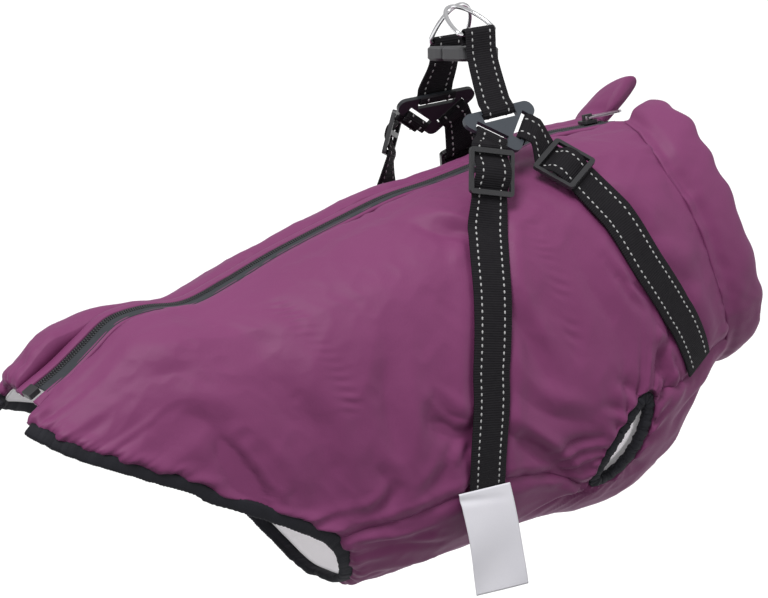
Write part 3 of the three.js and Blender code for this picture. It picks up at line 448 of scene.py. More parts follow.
def catches(s, size, shift=0.0):
    """Short slanting pleats on each side of a caught line, which itself lies a little low."""
    height = np.zeros_like(s)
    for s0, a0, s1, a1 in CATCH_LINES:
        t = (size - a0) / (a1 - a0)
        off = s - mix(s0, s1, t) - shift - 3 * np.sin(3.1 * t)
        ends = smooth((t + 0.02) / 0.1) * smooth((1.02 - t) / 0.1)
        along = DEGREE * (size - a0)
        uneven = 0.6 + 0.6 * soft_noise(along, 0 * along + s0, 11.0, 3)
        pleat = np.cos(2 * np.pi * (along - 0.55 * off) / 6.4 + 2.2 * soft_noise(along, off, 15.0, 5))
        height += ends * 0.55 * uneven * pleat * np.exp(-((off / 5.5) ** 2))
        height -= ends * 1.1 * np.exp(-((off / 10.0) ** 2))
    return height


def strap_shift(near_by, far_by, size, far):
    """How far ahead of its line a strap lies, most at its top."""
    return mix(near_by, far_by, far) * (1 - smooth((size - 44.0) / 50.0))


def strap_middle(strap_row, s, size, far):
    """Place s of a strap's middle at an angle, and the distance from it square to the strap."""
    line, _, near_by, far_by = strap_row
    at = spline(line, size) + strap_shift(near_by, far_by, size, far)
    slope = (spline(line, size + 1) - spline(line, size - 1)) / (2 * DEGREE)
    return at, np.abs(s - at) / np.sqrt(1 + slope**2)


def strap_dent(s, size, far):
    """The cloth lies low under a strap and puffs up beside it."""
    height = np.zeros_like(s)
    for strap_row in STRAPS:
        first, last = strap_row[1], strap_row[0][-1, 0]
        at, off = strap_middle(strap_row, s, size, far)
        on = smooth((size - first + 6) / 10) * smooth((last + 4 - size) / 6)
        puff = 1.0 + 0.5 * soft_noise(DEGREE * size, np.sign(s - at) * 40.0 + at, 26.0, 9)
        height += on * 1.5 * puff * np.exp(-(((off - 19) / 5.5) ** 2))
        height -= on * 1.3 * (1 - smooth((off - 10.5) / 5))
    return height


def under_strap(s, size, far):
    """1 where a strap covers the cloth, 0 beside it."""
    cover = np.zeros_like(s)
    for strap_row in STRAPS:
        first, last = strap_row[1], strap_row[0][-1, 0]
        _, off = strap_middle(strap_row, s, size, far)
        on = smooth((size - first + 8) / 6) * smooth((last + 3 - size) / 4)
        cover = np.maximum(cover, on * (1 - smooth((off - 12.8) / 4)))
    return cover


def hem_gathers(s, size, from_hem):
    """Gathers that the elastic pulls into the cloth: uneven waves square to the hem, which die
    out inwards."""
    along = 2.2 * size
    wave = 0.5 + 0.5 * np.cos(2 * np.pi * (along / 21.0 + 0.35 * soft_noise(along, 0 * along, 23.0, 11)))
    fine = np.cos(2 * np.pi * (along / 6.5 + 0.4 * soft_noise(along, 0 * along + 9, 9.0, 12)))
    tall = 0.65 + 0.5 * soft_noise(along, 0 * along + 30, 31.0, 13)
    reach = 26.0 + 12.0 * soft_noise(along, 0 * along + 70, 19.0, 14)
    broad = 2.1 * tall * wave * np.exp(-((from_hem / reach) ** 1.5))
    return broad + 0.35 * fine * np.exp(-((from_hem / 7.0) ** 1.4))


def edge_distances(points):
    """Distances of grid points from the four edges, along the grid's own lines."""
    across = np.linalg.norm(np.diff(points, axis=1), axis=-1)
    along = np.linalg.norm(np.diff(points, axis=0), axis=-1)
    left = np.concatenate([np.zeros((len(points), 1)), np.cumsum(across, axis=1)], axis=1)
    low = np.concatenate([np.zeros((1, points.shape[1])), np.cumsum(along, axis=0)], axis=0)
    return left, left[:, -1:] - left, low, low[-1:] - low


THIN_WALL = 2.0
PADDED_WALL = 5.0


def padding(s, size):
    """Thickness of the padded wall, flat at the hem and the neck seam."""
    filled = smooth((s - spline(HEM, size)) / 55) * smooth((spline(NECK, size) - s) / 22)
    return mix(THIN_WALL, PADDED_WALL, filled)


def hole_degree():
    """Millimetres in a degree round the body at the leg hole."""
    centre = form_point(ARMHOLE["s"], ARMHOLE["angle"])
    return np.linalg.norm(form_point(ARMHOLE["s"], ARMHOLE["angle"] + 1) - centre)


def hole_measure(s, size):
    """Below 1 inside the leg hole's ellipse; also the distances along its two axes."""
    ds, arc = s - ARMHOLE["s"], (size - ARMHOLE["angle"]) * hole_degree()
    c, d = np.cos(ARMHOLE["turn"]), np.sin(ARMHOLE["turn"])
    a, b = ds * c + arc * d, -ds * d + arc * c
    return np.hypot(a / ARMHOLE["long"], b / ARMHOLE["short"]), a, b


def open_hole(s, angle, droop=0.0):
    """Grid places pulled out to the rim of the leg hole, and the quads that stay. With droop the
    cloth on the belly's side hangs into the hole."""
    size = np.abs(angle)
    measure, a, b = hole_measure(s, size)
    rim = 1 - droop * smooth(0.6 - b / (measure * ARMHOLE["short"] + 0.01))
    inside = measure < rim
    pull = np.where(inside, rim / np.maximum(measure, 0.05), 1.0)
    new_s = ARMHOLE["s"] + (s - ARMHOLE["s"]) * pull
    new_size = ARMHOLE["angle"] + (size - ARMHOLE["angle"]) * pull
    gone = inside[:-1, :-1] & inside[1:, :-1] & inside[:-1, 1:] & inside[1:, 1:]
    return new_s, np.where(angle < 0, -new_size, new_size), ~gone


def faces_inwards(points, quads):
    """True where a closed body's quads face inwards, so that its signed volume is below 0."""
    a, b, c, d = (points[quads[:, k]] for k in range(4))
    return np.sum(a * np.cross(b, c) + a * np.cross(c, d)) < 0


def closed_wall(name, outer, inner, keep, material):
    """Closed body between two grids of points: both faces, and a rim along every open edge."""
    rows, columns = outer.shape[:2]
    index = np.arange(rows * columns).reshape(rows, columns)
    quads = np.stack([index[:-1, :-1], index[:-1, 1:], index[1:, 1:], index[1:, :-1]], axis=-1)[keep]
    edges = np.concatenate([quads[:, [0, 1]], quads[:, [1, 2]], quads[:, [2, 3]], quads[:, [3, 0]]])
    key = edges.min(axis=1) * rows * columns + edges.max(axis=1)
    _, place, count = np.unique(key, return_index=True, return_counts=True)
    rim = edges[place[count == 1]]
    lift = rows * columns
    sides = np.stack([rim[:, 1], rim[:, 0], rim[:, 0] + lift, rim[:, 1] + lift], axis=-1)
    points = np.concatenate([outer.reshape(-1, 3), inner.reshape(-1, 3)])
    faces = np.concatenate([quads, quads[:, ::-1] + lift, sides])
    used = np.unique(faces)
    renumber = np.zeros(len(points), int)
    renumber[used] = np.arange(len(used))
    points, faces = points[used], renumber[faces]
    if faces_inwards(points, faces):
        faces = faces[:, ::-1]
    return piece_from(name, points, faces, material)


shell_cloth, shell_tree, shell_shader = new_material("purple_shell_cloth", (0.197, 0.043, 0.132), 0.56)
shell_shader.inputs["Specular IOR Level"].default_value = 0.24
shell_shader.inputs["Sheen Weight"].default_value = 0.07
shell_shader.inputs["Sheen Roughness"].default_value = 0.4
shell_shader.inputs["Sheen Tint"].default_value = (0.85, 0.6, 0.95, 1.0)
shell_place = mottle(shell_tree, shell_shader, (0.178, 0.039, 0.119), (0.214, 0.047, 0.144), 9.0)
weave = shell_tree.nodes.new("ShaderNodeTexNoise")
weave.inputs["Scale"].default_value = 1400.0
weave.inputs["Detail"].default_value = 2.0
crinkle = shell_tree.nodes.new("ShaderNodeTexNoise")
crinkle.inputs["Scale"].default_value = 75.0
crinkle.inputs["Detail"].default_value = 4.0
crinkle_share = shell_tree.nodes.new("ShaderNodeMath")
crinkle_share.operation = "MULTIPLY_ADD"
crinkle_share.inputs[1].default_value = 5.0
shell_tree.links.new(shell_place.outputs["Object"], weave.inputs["Vector"])
shell_tree.links.new(shell_place.outputs["Object"], crinkle.inputs["Vector"])
shell_tree.links.new(crinkle.outputs["Fac"], crinkle_share.inputs[0])
shell_tree.links.new(weave.outputs["Fac"], crinkle_share.inputs[2])
relief(shell_tree, shell_shader, crinkle_share.outputs[0], 0.22, 0.0004)


def hole_gathers(s, size):
    """Gathers that the leg hole's elastic pulls into the cloth: uneven waves round the ellipse."""
    measure, a, b = hole_measure(s, size)
    round_it = np.arctan2(b / ARMHOLE["short"], a / ARMHOLE["long"])
    beyond = np.maximum(measure - 1, 0)
    wave = np.cos(13 * round_it + 2.0 * np.sin(3 * round_it))
    wave += 0.6 * np.cos(29 * round_it + 1.5 * np.sin(5 * round_it))
    return 1.5 * wave * np.exp(-((beyond / 0.62) ** 1.3)) * smooth(beyond / 0.12 + 0.35)


# The far side has the same folds as the near one, this much further on.
FAR_FOLD_SHIFT = 5.0
# Highest that the cloth stands over the form: by itself, more at the far tail, and under a strap.
PUFF_ROOF = 6.0
FAR_TAIL_ROOF = 5.0
STRAP_ROOF = 0.45


def panel_skin(s, angle, seam_edges, from_hem, from_neck):
    """Height of the shell over the form: folds, caught lines, straps, gathers, and edges drawn in."""
    size = np.abs(angle)
    arc = DEGREE * size
    far = np.where(angle < 0, 0.0, 1.0)
    shift = FAR_FOLD_SHIFT * far
    height = creases(s, size, shift) + catches(s, size, shift) + strap_dent(s, size, far)
    height += hem_gathers(s, size + 2 * shift, from_hem) + hole_gathers(s, size)
    height += 1.5 * soft_noise(s + 0.4 * arc, arc + 20 * shift, 47.0, 21)
    height += 0.7 * soft_noise(s - 0.7 * arc, 0.5 * arc + 9 * shift, 17.0, 22)
    crumple = 1 - 2 * np.abs(soft_noise(0.8 * s + 0.5 * arc, arc - 0.3 * s + 7 * shift, 29.0, 23))
    height += 0.7 * crumple
    height += 0.3 * (1 - 2 * np.abs(soft_noise(s - 0.6 * arc, 0.7 * arc + 0.5 * s + 5 * shift, 11.0, 24)))
    for away in seam_edges:
        pucker = 0.6 * soft_noise(s, arc, 5.5, 31) * np.exp(-((away / 8.0) ** 2))
        height += pucker + 1.2 * np.exp(-(((away - 9) / 6.0) ** 2)) - 1.7 * np.exp(-((away / 2.8) ** 2))
    height += 1.6 * np.exp(-(((from_hem - 5) / 5.5) ** 2)) - 1.6 * np.exp(-((from_hem / 1.6) ** 2))
    height -= 1.3 * np.exp(-((from_neck / 3.0) ** 2))
    height += 0.7 * soft_noise(arc, 0 * arc, 6.5, 33) * np.exp(-((from_neck / 10.0) ** 2))
    far_tail = smooth(angle / 8.0) * smooth((62.0 - size) / 26.0)
    height += far_tail * 9.0 * np.exp(-(((from_hem - 30) / 21.0) ** 2))
    height -= far_tail * 3.0 * np.exp(-(((from_hem - 96) / 30.0) ** 2))
    beside_zip = np.exp(-(((np.minimum(seam_edges[0], 60.0) - 14.0) / 10.0) ** 2)) * (1 - far)
    height -= 2.2 * beside_zip * smooth((120.0 - size) / 30.0)
    roof = mix(PUFF_ROOF + FAR_TAIL_ROOF * far_tail, STRAP_ROOF, under_strap(s, size, far))
    lowest = 1.0 - padding(s, size)
    return np.clip(height, lowest, roof)


def side_panel(side, word):
    """Side panel as a fine grid on the form, its leg-hole notch cut, with the wall behind it."""
    v, u = np.meshgrid(np.linspace(0, 1, 241) ** 1.15, np.linspace(0, 1, 151), indexing="ij")
    s, angle = side_grid(side, u, v)
    from_zip, from_seam, from_hem, from_neck = edge_distances(form_point(s, angle))
    s, angle, keep = open_hole(s, angle)
    height = panel_skin(s, angle, (from_zip, from_seam), from_hem, from_neck)
    outer = on_form(s, angle, height)
    inner = on_form(s, angle, -padding(s, np.abs(angle)))
    panel = closed_wall(f"side_panel_{word}_cloth", outer, inner, keep, shell_cloth)
    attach(panel, "coat")
    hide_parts(f"side_panel_{word}")
    return panel


side_right = side_panel(-1, "right")
side_left = side_panel(1, "left")


# Belly panel: the piece under the chest and belly, of the same padded cloth, sewn to both side
# panels, with half of each leg hole in it.
def belly_grid(u, v, ragged=1.0):
    """s and signed angle of the belly panel, u from the near seam to the far one."""
    share = np.abs(2 * u - 1)

    def angle_of(s):
        """Angle of each column of the grid at its place s."""
        return mix(180.0, spline(SEAM, s), share)

    s = panel_rows(angle_of, -190.0 + 0 * u, 98.0 + 0 * u, v, ragged, np.where(u > 0.5, 1.0, 0.0))
    return s, np.where(u < 0.5, -1, 1) * angle_of(s)


v, u = np.meshgrid(np.linspace(0, 1, 151), np.linspace(0, 1, 142), indexing="ij")
belly_s, belly_angle = belly_grid(u, v)
near_away, far_away, hem_away, neck_away = edge_distances(form_point(belly_s, belly_angle))
belly_s, belly_angle, belly_keep = open_hole(belly_s, belly_angle)
belly_height = panel_skin(belly_s, belly_angle, (near_away, far_away), hem_away, neck_away)
belly_height = belly_height * smooth((180.0 - np.abs(belly_angle)) / 12.0)
belly = closed_wall(
    "belly_panel_cloth",
    on_form(belly_s, belly_angle, belly_height),
    on_form(belly_s, belly_angle, -padding(belly_s, np.abs(belly_angle))),
    belly_keep,
    shell_cloth,
)
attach(belly, "coat")
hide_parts("belly_panel")


# Lining: light grey brushed cloth inside each panel, loose behind the wadding. It shows in the
# slit at the tail, in the leg holes, in the neck and under the open hem.
lining_cloth, lining_tree, lining_shader = new_material("grey_lining_cloth_painted_glow", (0.90, 0.89, 0.90), 0.85)
lining_place = mottle(lining_tree, lining_shader, (0.86, 0.85, 0.86), (0.94, 0.93, 0.94), 40.0)
# The lining is light grey cloth, and it also glows faintly: painted light, standing in for the light that
# reaches the cloth inside the coat.
lining_shader.inputs["Emission Color"].default_value = (0.95, 0.93, 0.95, 1.0)
lining_shader.inputs["Emission Strength"].default_value = 0.15
grain(lining_tree, lining_shader, lining_place, 900.0, 0.3, 0.0004)


LINING_BEHIND = 1.3
LINING_THICKNESS = 0.8
LINING_DROOP = 0.5


def lining_piece(name, node, s, angle, keep):
    """Thin skin inside a panel, with slack ripples inwards."""
    size = np.abs(angle)
    arc = DEGREE * size
    slack = 0.8 * (1 + soft_noise(s, arc, 24.0, 41)) + 0.4 * (1 + soft_noise(s + arc, arc, 9.0, 42))
    slack = slack * smooth((s - panel_start(size, 0.0)) / 20) * smooth((panel_end(size) - s) / 20)
    depth = -padding(s, size) - LINING_BEHIND - slack
    outer, inner = on_form(s, angle, depth), on_form(s, angle, depth - LINING_THICKNESS)
    piece = closed_wall(name, outer, inner, keep, lining_cloth)
    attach(piece, "coat")
    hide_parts(node)
    return piece


v, u = np.meshgrid(np.linspace(0, 1, 141), np.linspace(0, 1, 101), indexing="ij")
for side, word in ((-1, "right"), (1, "left")):
    s, angle, keep = open_hole(*side_grid(side, mix(0.004, 0.998, u), v, 0.0), LINING_DROOP)
    lining_piece(f"lining_{word}_cloth", f"lining_{word}", s, angle, keep)
s, angle, keep = open_hole(*belly_grid(mix(0.003, 0.997, u), v, 0.0), LINING_DROOP)
lining_piece("lining_belly_cloth", "lining_belly", s, angle, keep)


# Elastic binding: black folded tape sewn round the hem, from one corner of the tail slit under
# the belly to the other, and round each leg hole. It is ribbed and slightly ruffled.
def rounded_section(width, thickness, sides, exponent):
    """Closed section between an ellipse and a rectangle."""
    t = (np.arange(sides) + 0.5) / sides * 2 * np.pi
    across = 0.5 * width * power(np.cos(t), exponent)
    return np.stack([across, 0.5 * thickness * power(np.sin(t), exponent)], axis=-1)


def unit(vectors):
    """Vectors scaled to length one."""
    return vectors / np.linalg.norm(vectors, axis=-1, keepdims=True)


def path_frames(points, outward, closed):
    """Across and outward directions along a path, square to it and to each other."""
    if closed:
        ahead = np.roll(points, -1, axis=0) - np.roll(points, 1, axis=0)
    else:
        ahead = np.gradient(points, axis=0)
    ahead = unit(ahead)
    across = unit(np.cross(ahead, outward))
    return across, unit(np.cross(across, ahead))


def swept(name, points, across, outward, section, closed, material):
    """Section carried along a path; section is one closed ring of offsets, or one ring a station."""
    section = np.broadcast_to(section, (len(points), *np.shape(section)[-2:]))
    rings = points[:, None] + across[:, None] * section[..., :1] + outward[:, None] * section[..., 1:]
    stations, sides = rings.shape[:2]
    index = np.arange(stations * sides).reshape(stations, sides)
    if closed:
        index = np.concatenate([index, index[:1]])
    turned = np.concatenate([index, index[:, :1]], axis=1)
    quads = np.stack([turned[:-1, :-1], turned[1:, :-1], turned[1:, 1:], turned[:-1, 1:]], axis=-1)
    quads = quads.reshape(-1, 4)
    faces = quads.tolist()
    if not closed:
        faces += [index[0].tolist(), index[-1, ::-1].tolist()]
    points = rings.reshape(-1, 3)
    if faces_inwards(points, quads):
        faces = [face[::-1] for face in faces]
    return piece_from(name, points, faces, material)


elastic_tape, elastic_tree, elastic_shader = new_material("black_elastic_tape", (0.012, 0.012, 0.016), 0.75)
elastic_shader.inputs["Specular IOR Level"].default_value = 0.2
elastic_place = mottle(elastic_tree, elastic_shader, (0.009, 0.009, 0.012), (0.018, 0.018, 0.024), 120.0)
grain(elastic_tree, elastic_shader, elastic_place, 1100.0, 0.35, 0.0004)

HEM_HALF = 421
HEM_TAPE_THICKNESS = 4.6
LEG_TAPE_WIDTH = 7.6
LEG_TAPE_THICKNESS = 5.4
TAPE_SIDES = 14
TAPE_CORNER = 0.62
hem_size = np.concatenate([
    -mix(abs(angle_at(-366.0, 23.0)), 180.0, np.linspace(0, 1, HEM_HALF)),
    mix(180.0, abs(angle_at(-371.0, 14.0)), np.linspace(0, 1, HEM_HALF))[1:],
])
held_angle = np.sign(hem_size) * np.minimum(np.abs(hem_size), 179.5)
hem_s = spline(HEM, np.abs(hem_size)) + 0.5 * BINDING_WIDTH * hem_slant(hem_size)
hem_s += hem_rise(np.abs(hem_size), np.where(np.arange(len(hem_size)) >= HEM_HALF, 1.0, 0.0))
hem_along = np.arange(len(hem_s)) * 1.0
hem_ruffle = 0.5 * soft_noise(hem_along, 0 * hem_along, 14.0, 51)
hem_ruffle += 0.25 * soft_noise(hem_along, 0 * hem_along, 4.5, 52)
hem_path = on_form(hem_s, held_angle, -1.7 + hem_ruffle)
hem_across, hem_out = path_frames(hem_path, form_normal(hem_s, held_angle), False)
hem_swell = 1 + 0.06 * soft_noise(hem_along, 0 * hem_along, 6.0, 53)
hem_swell += 0.05 * np.cos(2 * np.pi * hem_along / 2.6)
hem_section = rounded_section(BINDING_WIDTH, HEM_TAPE_THICKNESS, TAPE_SIDES, TAPE_CORNER)[None]
hem_section = hem_section * hem_swell[:, None, None]
hem_tape = swept("hem_elastic", hem_path, hem_across, hem_out, hem_section, False, elastic_tape)
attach(hem_tape, "coat")
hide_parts("hem_binding")

for side, word in ((-1, "right"), (1, "left")):
    t = np.linspace(0, 2 * np.pi, 240, endpoint=False)
    margin = -LEG_TAPE_WIDTH / 2 - 4 * SEAM_GAP
    a, b = (ARMHOLE["long"] + margin) * np.cos(t), (ARMHOLE["short"] + margin) * np.sin(t)
    s = ARMHOLE["s"] + a * np.cos(ARMHOLE["turn"]) - b * np.sin(ARMHOLE["turn"])
    arc = a * np.sin(ARMHOLE["turn"]) + b * np.cos(ARMHOLE["turn"])
    angle = side * (ARMHOLE["angle"] + arc / hole_degree())
    ripple = 0.4 * np.cos(t * 23 + 1.3 * np.sin(3 * t)) + 0.25 * np.cos(t * 61)
    path = on_form(s, angle, -2.4 + ripple)
    across, out = path_frames(path, form_normal(s, angle), True)
    swell = 1 + 0.05 * np.cos(t * 80)
    section = rounded_section(LEG_TAPE_WIDTH + 0.4, LEG_TAPE_THICKNESS, TAPE_SIDES, TAPE_CORNER)[None]
    section = section * swell[:, None, None]
    tape = swept(f"armhole_elastic_{word}", path, across, out, section, True, elastic_tape)
    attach(tape, "coat")
    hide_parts(f"armhole_binding_{word}")


# Collar: one padded band round the neck, stitched to the panels along the neck seam, wavy along
# its rim. Its two ends stay open above the zip, and the far one stands up.
# Columns: angle from the spine, width of the band near and far.
COLLAR_WIDTH = np.array([
    [0, 28, 36], [18, 34, 36], [40, 41, 38], [75, 39, 41], [110, 36, 39], [140, 33, 34], [180, 31, 31],
], float)
# Columns: angle from the spine, how far the band leans outwards in degrees, near and far.
COLLAR_STAND = np.array([[0, 16, 46], [20, 12, 30], [45, 4, 8], [90, 0, 0], [180, 4, 4]], float)
# Columns: share of the width, height over the form, as one closed ring.
COLLAR_RING = np.array([
    [0.004, 0.2], [0.2, 2.2], [0.5, 3.4], [0.8, 2.8], [0.97, -0.2],
    [1.0, -4.4], [0.9, -7.4], [0.6, -7.8], [0.25, -6.2], [0.004, -4.6],
], float)
COLLAR_STEPS = 420
RING_POINTS = 64
t = np.linspace(0, 2, COLLAR_STEPS + 1)
near_start, far_start = abs(angle_at(86.0, 19.0)), abs(angle_at(86.0, 9.0))
collar_size = np.where(t <= 1, mix(near_start, 180.0, t), mix(180.0, far_start, t - 1))
collar_side = np.where(t <= 1, -1, 1)
collar_angle = collar_side * np.minimum(collar_size, 179.5)
collar_s = spline(NECK, collar_size) + SEAM_GAP
collar_normal = form_normal(collar_s, collar_angle)
collar_ahead = unit(form_point(collar_s + 1, collar_angle) - form_point(collar_s - 1, collar_angle))
near_stand, far_stand = spline(COLLAR_STAND, collar_size, 1), spline(COLLAR_STAND, collar_size, 2)
stand = np.radians(np.where(t <= 1, near_stand, far_stand))
near_width, far_width = spline(COLLAR_WIDTH, collar_size, 1), spline(COLLAR_WIDTH, collar_size, 2)
width = np.where(t <= 1, near_width, far_width) + 1.3 * np.cos(16 * np.pi * t + collar_side * 0.8)
collar_across = collar_ahead * np.cos(stand)[:, None] + collar_normal * np.sin(stand)[:, None]
collar_out = collar_normal * np.cos(stand)[:, None] - collar_ahead * np.sin(stand)[:, None]
ring_share = np.arange(len(COLLAR_RING) + 1, dtype=float)
ring_table = np.column_stack([ring_share, np.concatenate([COLLAR_RING, COLLAR_RING[:1]])])
ring_at = np.linspace(0, len(COLLAR_RING), RING_POINTS, endpoint=False)
ring_along, ring_out = spline(ring_table, ring_at, 1), spline(ring_table, ring_at, 2)
collar_arc = t * 230.0
arc_grid, share_grid = collar_arc[:, None], ring_along[None, :]
outer_face = (ring_at < 5)[None, :]
puckers = 0.8 * soft_noise(arc_grid, 0 * share_grid, 8.0, 61) * np.exp(-((share_grid * 40 / 12.0) ** 2))
valley = 2.6 * (0.75 + 0.6 * soft_noise(arc_grid, 0 * share_grid + 5, 34.0, 64))
valley = valley * np.exp(-(((share_grid - 0.17) / 0.11) ** 2))
rolls = 0.9 * soft_noise(arc_grid + 25 * share_grid, 30 * share_grid, 19.0, 62) * smooth(share_grid * 4)
fine = 0.35 * soft_noise(arc_grid - 15 * share_grid, 30 * share_grid, 7.0, 63)
collar_height = ring_out[None, :] + np.where(outer_face, puckers + rolls + fine - valley, 0.4 * rolls)
collar_section = np.stack([share_grid * width[:, None] + 0.2, collar_height], axis=-1)
collar = swept(
    "collar_band", form_point(collar_s, collar_angle), collar_across, collar_out,
    collar_section, False, shell_cloth,
)
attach(collar, "coat")
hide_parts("collar")


# Zip: slate woven tapes with a black coil between them, and on each side a purple facing folded
# over the tape and topstitched. A moulded box closes the tail end.
zip_tape, tape_tree, tape_shader = new_material("slate_zip_tape", (0.026, 0.029, 0.036), 0.8)
tape_place = mottle(tape_tree, tape_shader, (0.022, 0.025, 0.031), (0.032, 0.036, 0.044), 200.0)
grain(tape_tree, tape_shader, tape_place, 1500.0, 0.3, 0.0003)
coil_plastic, coil_tree, coil_shader = new_material("dark_zip_coil", (0.022, 0.023, 0.026), 0.42)
mottle(coil_tree, coil_shader, (0.018, 0.019, 0.022), (0.028, 0.030, 0.033), 300.0)

ZIP_TAIL = -340.0
ZIP_NECK = 84.0
TAPE_INNER = 2.4
TAPE_OUTER = 12.6


def zip_strip(name, node, start, side, inner, outer, high, fall, thick, crown, material):
    """Strip along the zip between two distances from its centre: high at its inner edge, lower by
    fall at the outer one, and slightly crowned across. Without an outer distance it ends over the
    panel's edge."""
    v, u = np.meshgrid(np.linspace(0, 1, 281), np.linspace(0, 1, 13), indexing="ij")
    s = mix(start, ZIP_NECK, v)
    if outer is None:
        outer = spline(BACK_EDGE, s, 1 if side < 0 else 2) + 1.6
    angle = angle_at(s, side * mix(inner, outer, u))
    pucker = 0.28 * crown * soft_noise(s, 0 * s + side, 5.0, 71)
    top = high - fall * u**2 + crown * np.sin(np.pi * u)
    top += pucker * np.sin(np.pi * np.minimum(u + 0.2, 1.0))
    keep = np.ones((len(v) - 1, v.shape[1] - 1), bool)
    piece = closed_wall(name, on_form(s, angle, top), on_form(s, angle, top - thick), keep, material)
    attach(piece, "coat")
    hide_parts(node)
    return piece


# Columns: side, its word, distance of the facing's edge from the zip, height of tape and facing.
for side, word, facing_from, tape_high, facing_high in (
    (-1, "right", 10.2, 0.5, 0.4),
    (1, "left", 4.6, -0.6, 0.7),
):
    zip_strip(
        f"zip_tape_{word}_cloth", f"zip_tape_{word}", ZIP_TAIL, side, TAPE_INNER, TAPE_OUTER,
        tape_high, 0.0, 1.0, 0.15, zip_tape,
    )
    zip_strip(
        f"zip_facing_{word}_cloth", f"zip_facing_{word}", ZIP_TAIL - 9, side, facing_from, None,
        facing_high, facing_high + 1.0, facing_high + 1.9, facing_high, shell_cloth,
    )

TOOTH_PITCH = 1.55
COIL_BEAD = (0.62, 1.85, 0.95)
COIL_RISE = 0.55
COIL_ASIDE = 1.55
tooth_s = np.arange(ZIP_TAIL + 2, ZIP_NECK - 2, TOOTH_PITCH * 0.97)


def bead(along, across, tall):
    """Small closed bead: an ellipsoid of few faces, from its three half sizes."""
    lat = np.linspace(-np.pi / 2, np.pi / 2, 5)
    lon = np.linspace(0, 2 * np.pi, 6, endpoint=False)
    return np.stack([
        along * np.cos(lat)[:, None] * np.cos(lon)[None],
        across * np.cos(lat)[:, None] * np.sin(lon)[None],
        tall * np.sin(lat)[:, None] + 0 * lon[None],
    ], axis=-1)


def scatter(name, shape, centres, ahead, across, outward, material):
    """The same small closed shape repeated: its x lies ahead, its y across and its z outwards."""
    rows, sides = shape.shape[:2]
    points = (
        centres[:, None, None]
        + shape[None, ..., :1] * ahead[:, None, None]
        + shape[None, ..., 1:2] * across[:, None, None]
        + shape[None, ..., 2:] * outward[:, None, None]
    )
    index = np.arange(rows * sides).reshape(rows, sides)
    turned = np.concatenate([index, index[:, :1]], axis=1)
    quads = np.stack([turned[:-1, :-1], turned[:-1, 1:], turned[1:, 1:], turned[1:, :-1]], axis=-1)
    quads = quads.reshape(-1, 4)
    offsets = np.arange(len(centres)) * rows * sides
    faces = (quads[None] + offsets[:, None, None]).reshape(-1, 4)
    return piece_from(name, points, faces, material)


coil_ahead = unit(form_point(tooth_s + 1, 0 * tooth_s) - form_point(tooth_s - 1, 0 * tooth_s))
coil_out = form_normal(tooth_s, 0 * tooth_s)
coil_side = np.cross(coil_out, coil_ahead)
coil_centres = []
for side in (-1, 1):
    row_s = tooth_s + 0.25 * side * TOOTH_PITCH
    row = on_form(row_s, 0 * tooth_s, COIL_RISE + 0 * tooth_s)
    coil_centres.append(row + side * COIL_ASIDE * coil_side)
coil = scatter(
    "zip_coil",
    bead(*COIL_BEAD),
    np.concatenate(coil_centres),
    np.concatenate([coil_ahead, coil_ahead]),
    np.concatenate([coil_side, coil_side]),
    np.concatenate([coil_out, coil_out]),
    coil_plastic,
)
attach(coil, "coat")

core_s = np.linspace(ZIP_TAIL, ZIP_NECK, 240)
core_path = on_form(core_s, 0 * core_s, -0.2 + 0 * core_s)
core_across, core_out = path_frames(core_path, form_normal(core_s, 0 * core_s), False)
core_section = rounded_section(5.6, 1.2, 10, 0.6)
core = swept("zip_core", core_path, core_across, core_out, core_section, False, coil_plastic)
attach(core, "coat")
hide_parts("zip_chain")


# Moulded parts and metal parts whose solids already have the right shape: each gets the same
# shape with its edges rounded, as it comes from the mould or the press.
black_plastic, black_tree, black_shader = new_material("dark_moulded_plastic", (0.019, 0.019, 0.021), 0.42)
black_place = mottle(black_tree, black_shader, (0.016, 0.016, 0.018), (0.023, 0.023, 0.026), 60.0)
grain(black_tree, black_shader, black_place, 700.0, 0.12, 0.0003)
plate_plastic, plate_tree, plate_shader = new_material("blue_grey_plastic", (0.050, 0.059, 0.072), 0.36)
plate_place = mottle(plate_tree, plate_shader, (0.046, 0.054, 0.066), (0.056, 0.065, 0.079), 60.0)
grain(plate_tree, plate_shader, plate_place, 700.0, 0.12, 0.0003)
# The far plate is the same blue-grey plastic as the near one, made darker: painted shade for its unlit
# side.
far_plate_painted_shade, painted_shade_tree, painted_shade_shader = new_material(
    "blue_grey_plastic_painted_shade", (0.016, 0.018, 0.021), 0.4
)
mottle(painted_shade_tree, painted_shade_shader, (0.014, 0.016, 0.019), (0.019, 0.021, 0.025), 60.0)
pull_metal, pull_tree, pull_shader = new_material("silver_pull", (0.62, 0.62, 0.64), 0.28, 1.0)
mottle(pull_tree, pull_shader, (0.58, 0.58, 0.60), (0.68, 0.68, 0.70), 80.0)


def rounded_copy(name, node, material, edge, body):
    """Copy of a solid with its doubles merged and its edges bevelled."""
    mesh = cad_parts[node].data.copy()
    mesh.name = name
    piece = bpy.data.objects.new(name, mesh)
    bpy.context.scene.collection.objects.link(piece)
    mesh.materials.clear()
    mesh.materials.append(material)
    weld = piece.modifiers.new("weld", "WELD")
    weld.merge_threshold = 0.00002
    bevel = piece.modifiers.new("edges", "BEVEL")
    bevel.width = edge
    bevel.segments = 3
    bevel.limit_method = "ANGLE"
    bevel.angle_limit = np.radians(40)
    bevel.use_clamp_overlap = True
    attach(piece, body)
    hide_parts(node)
    return piece


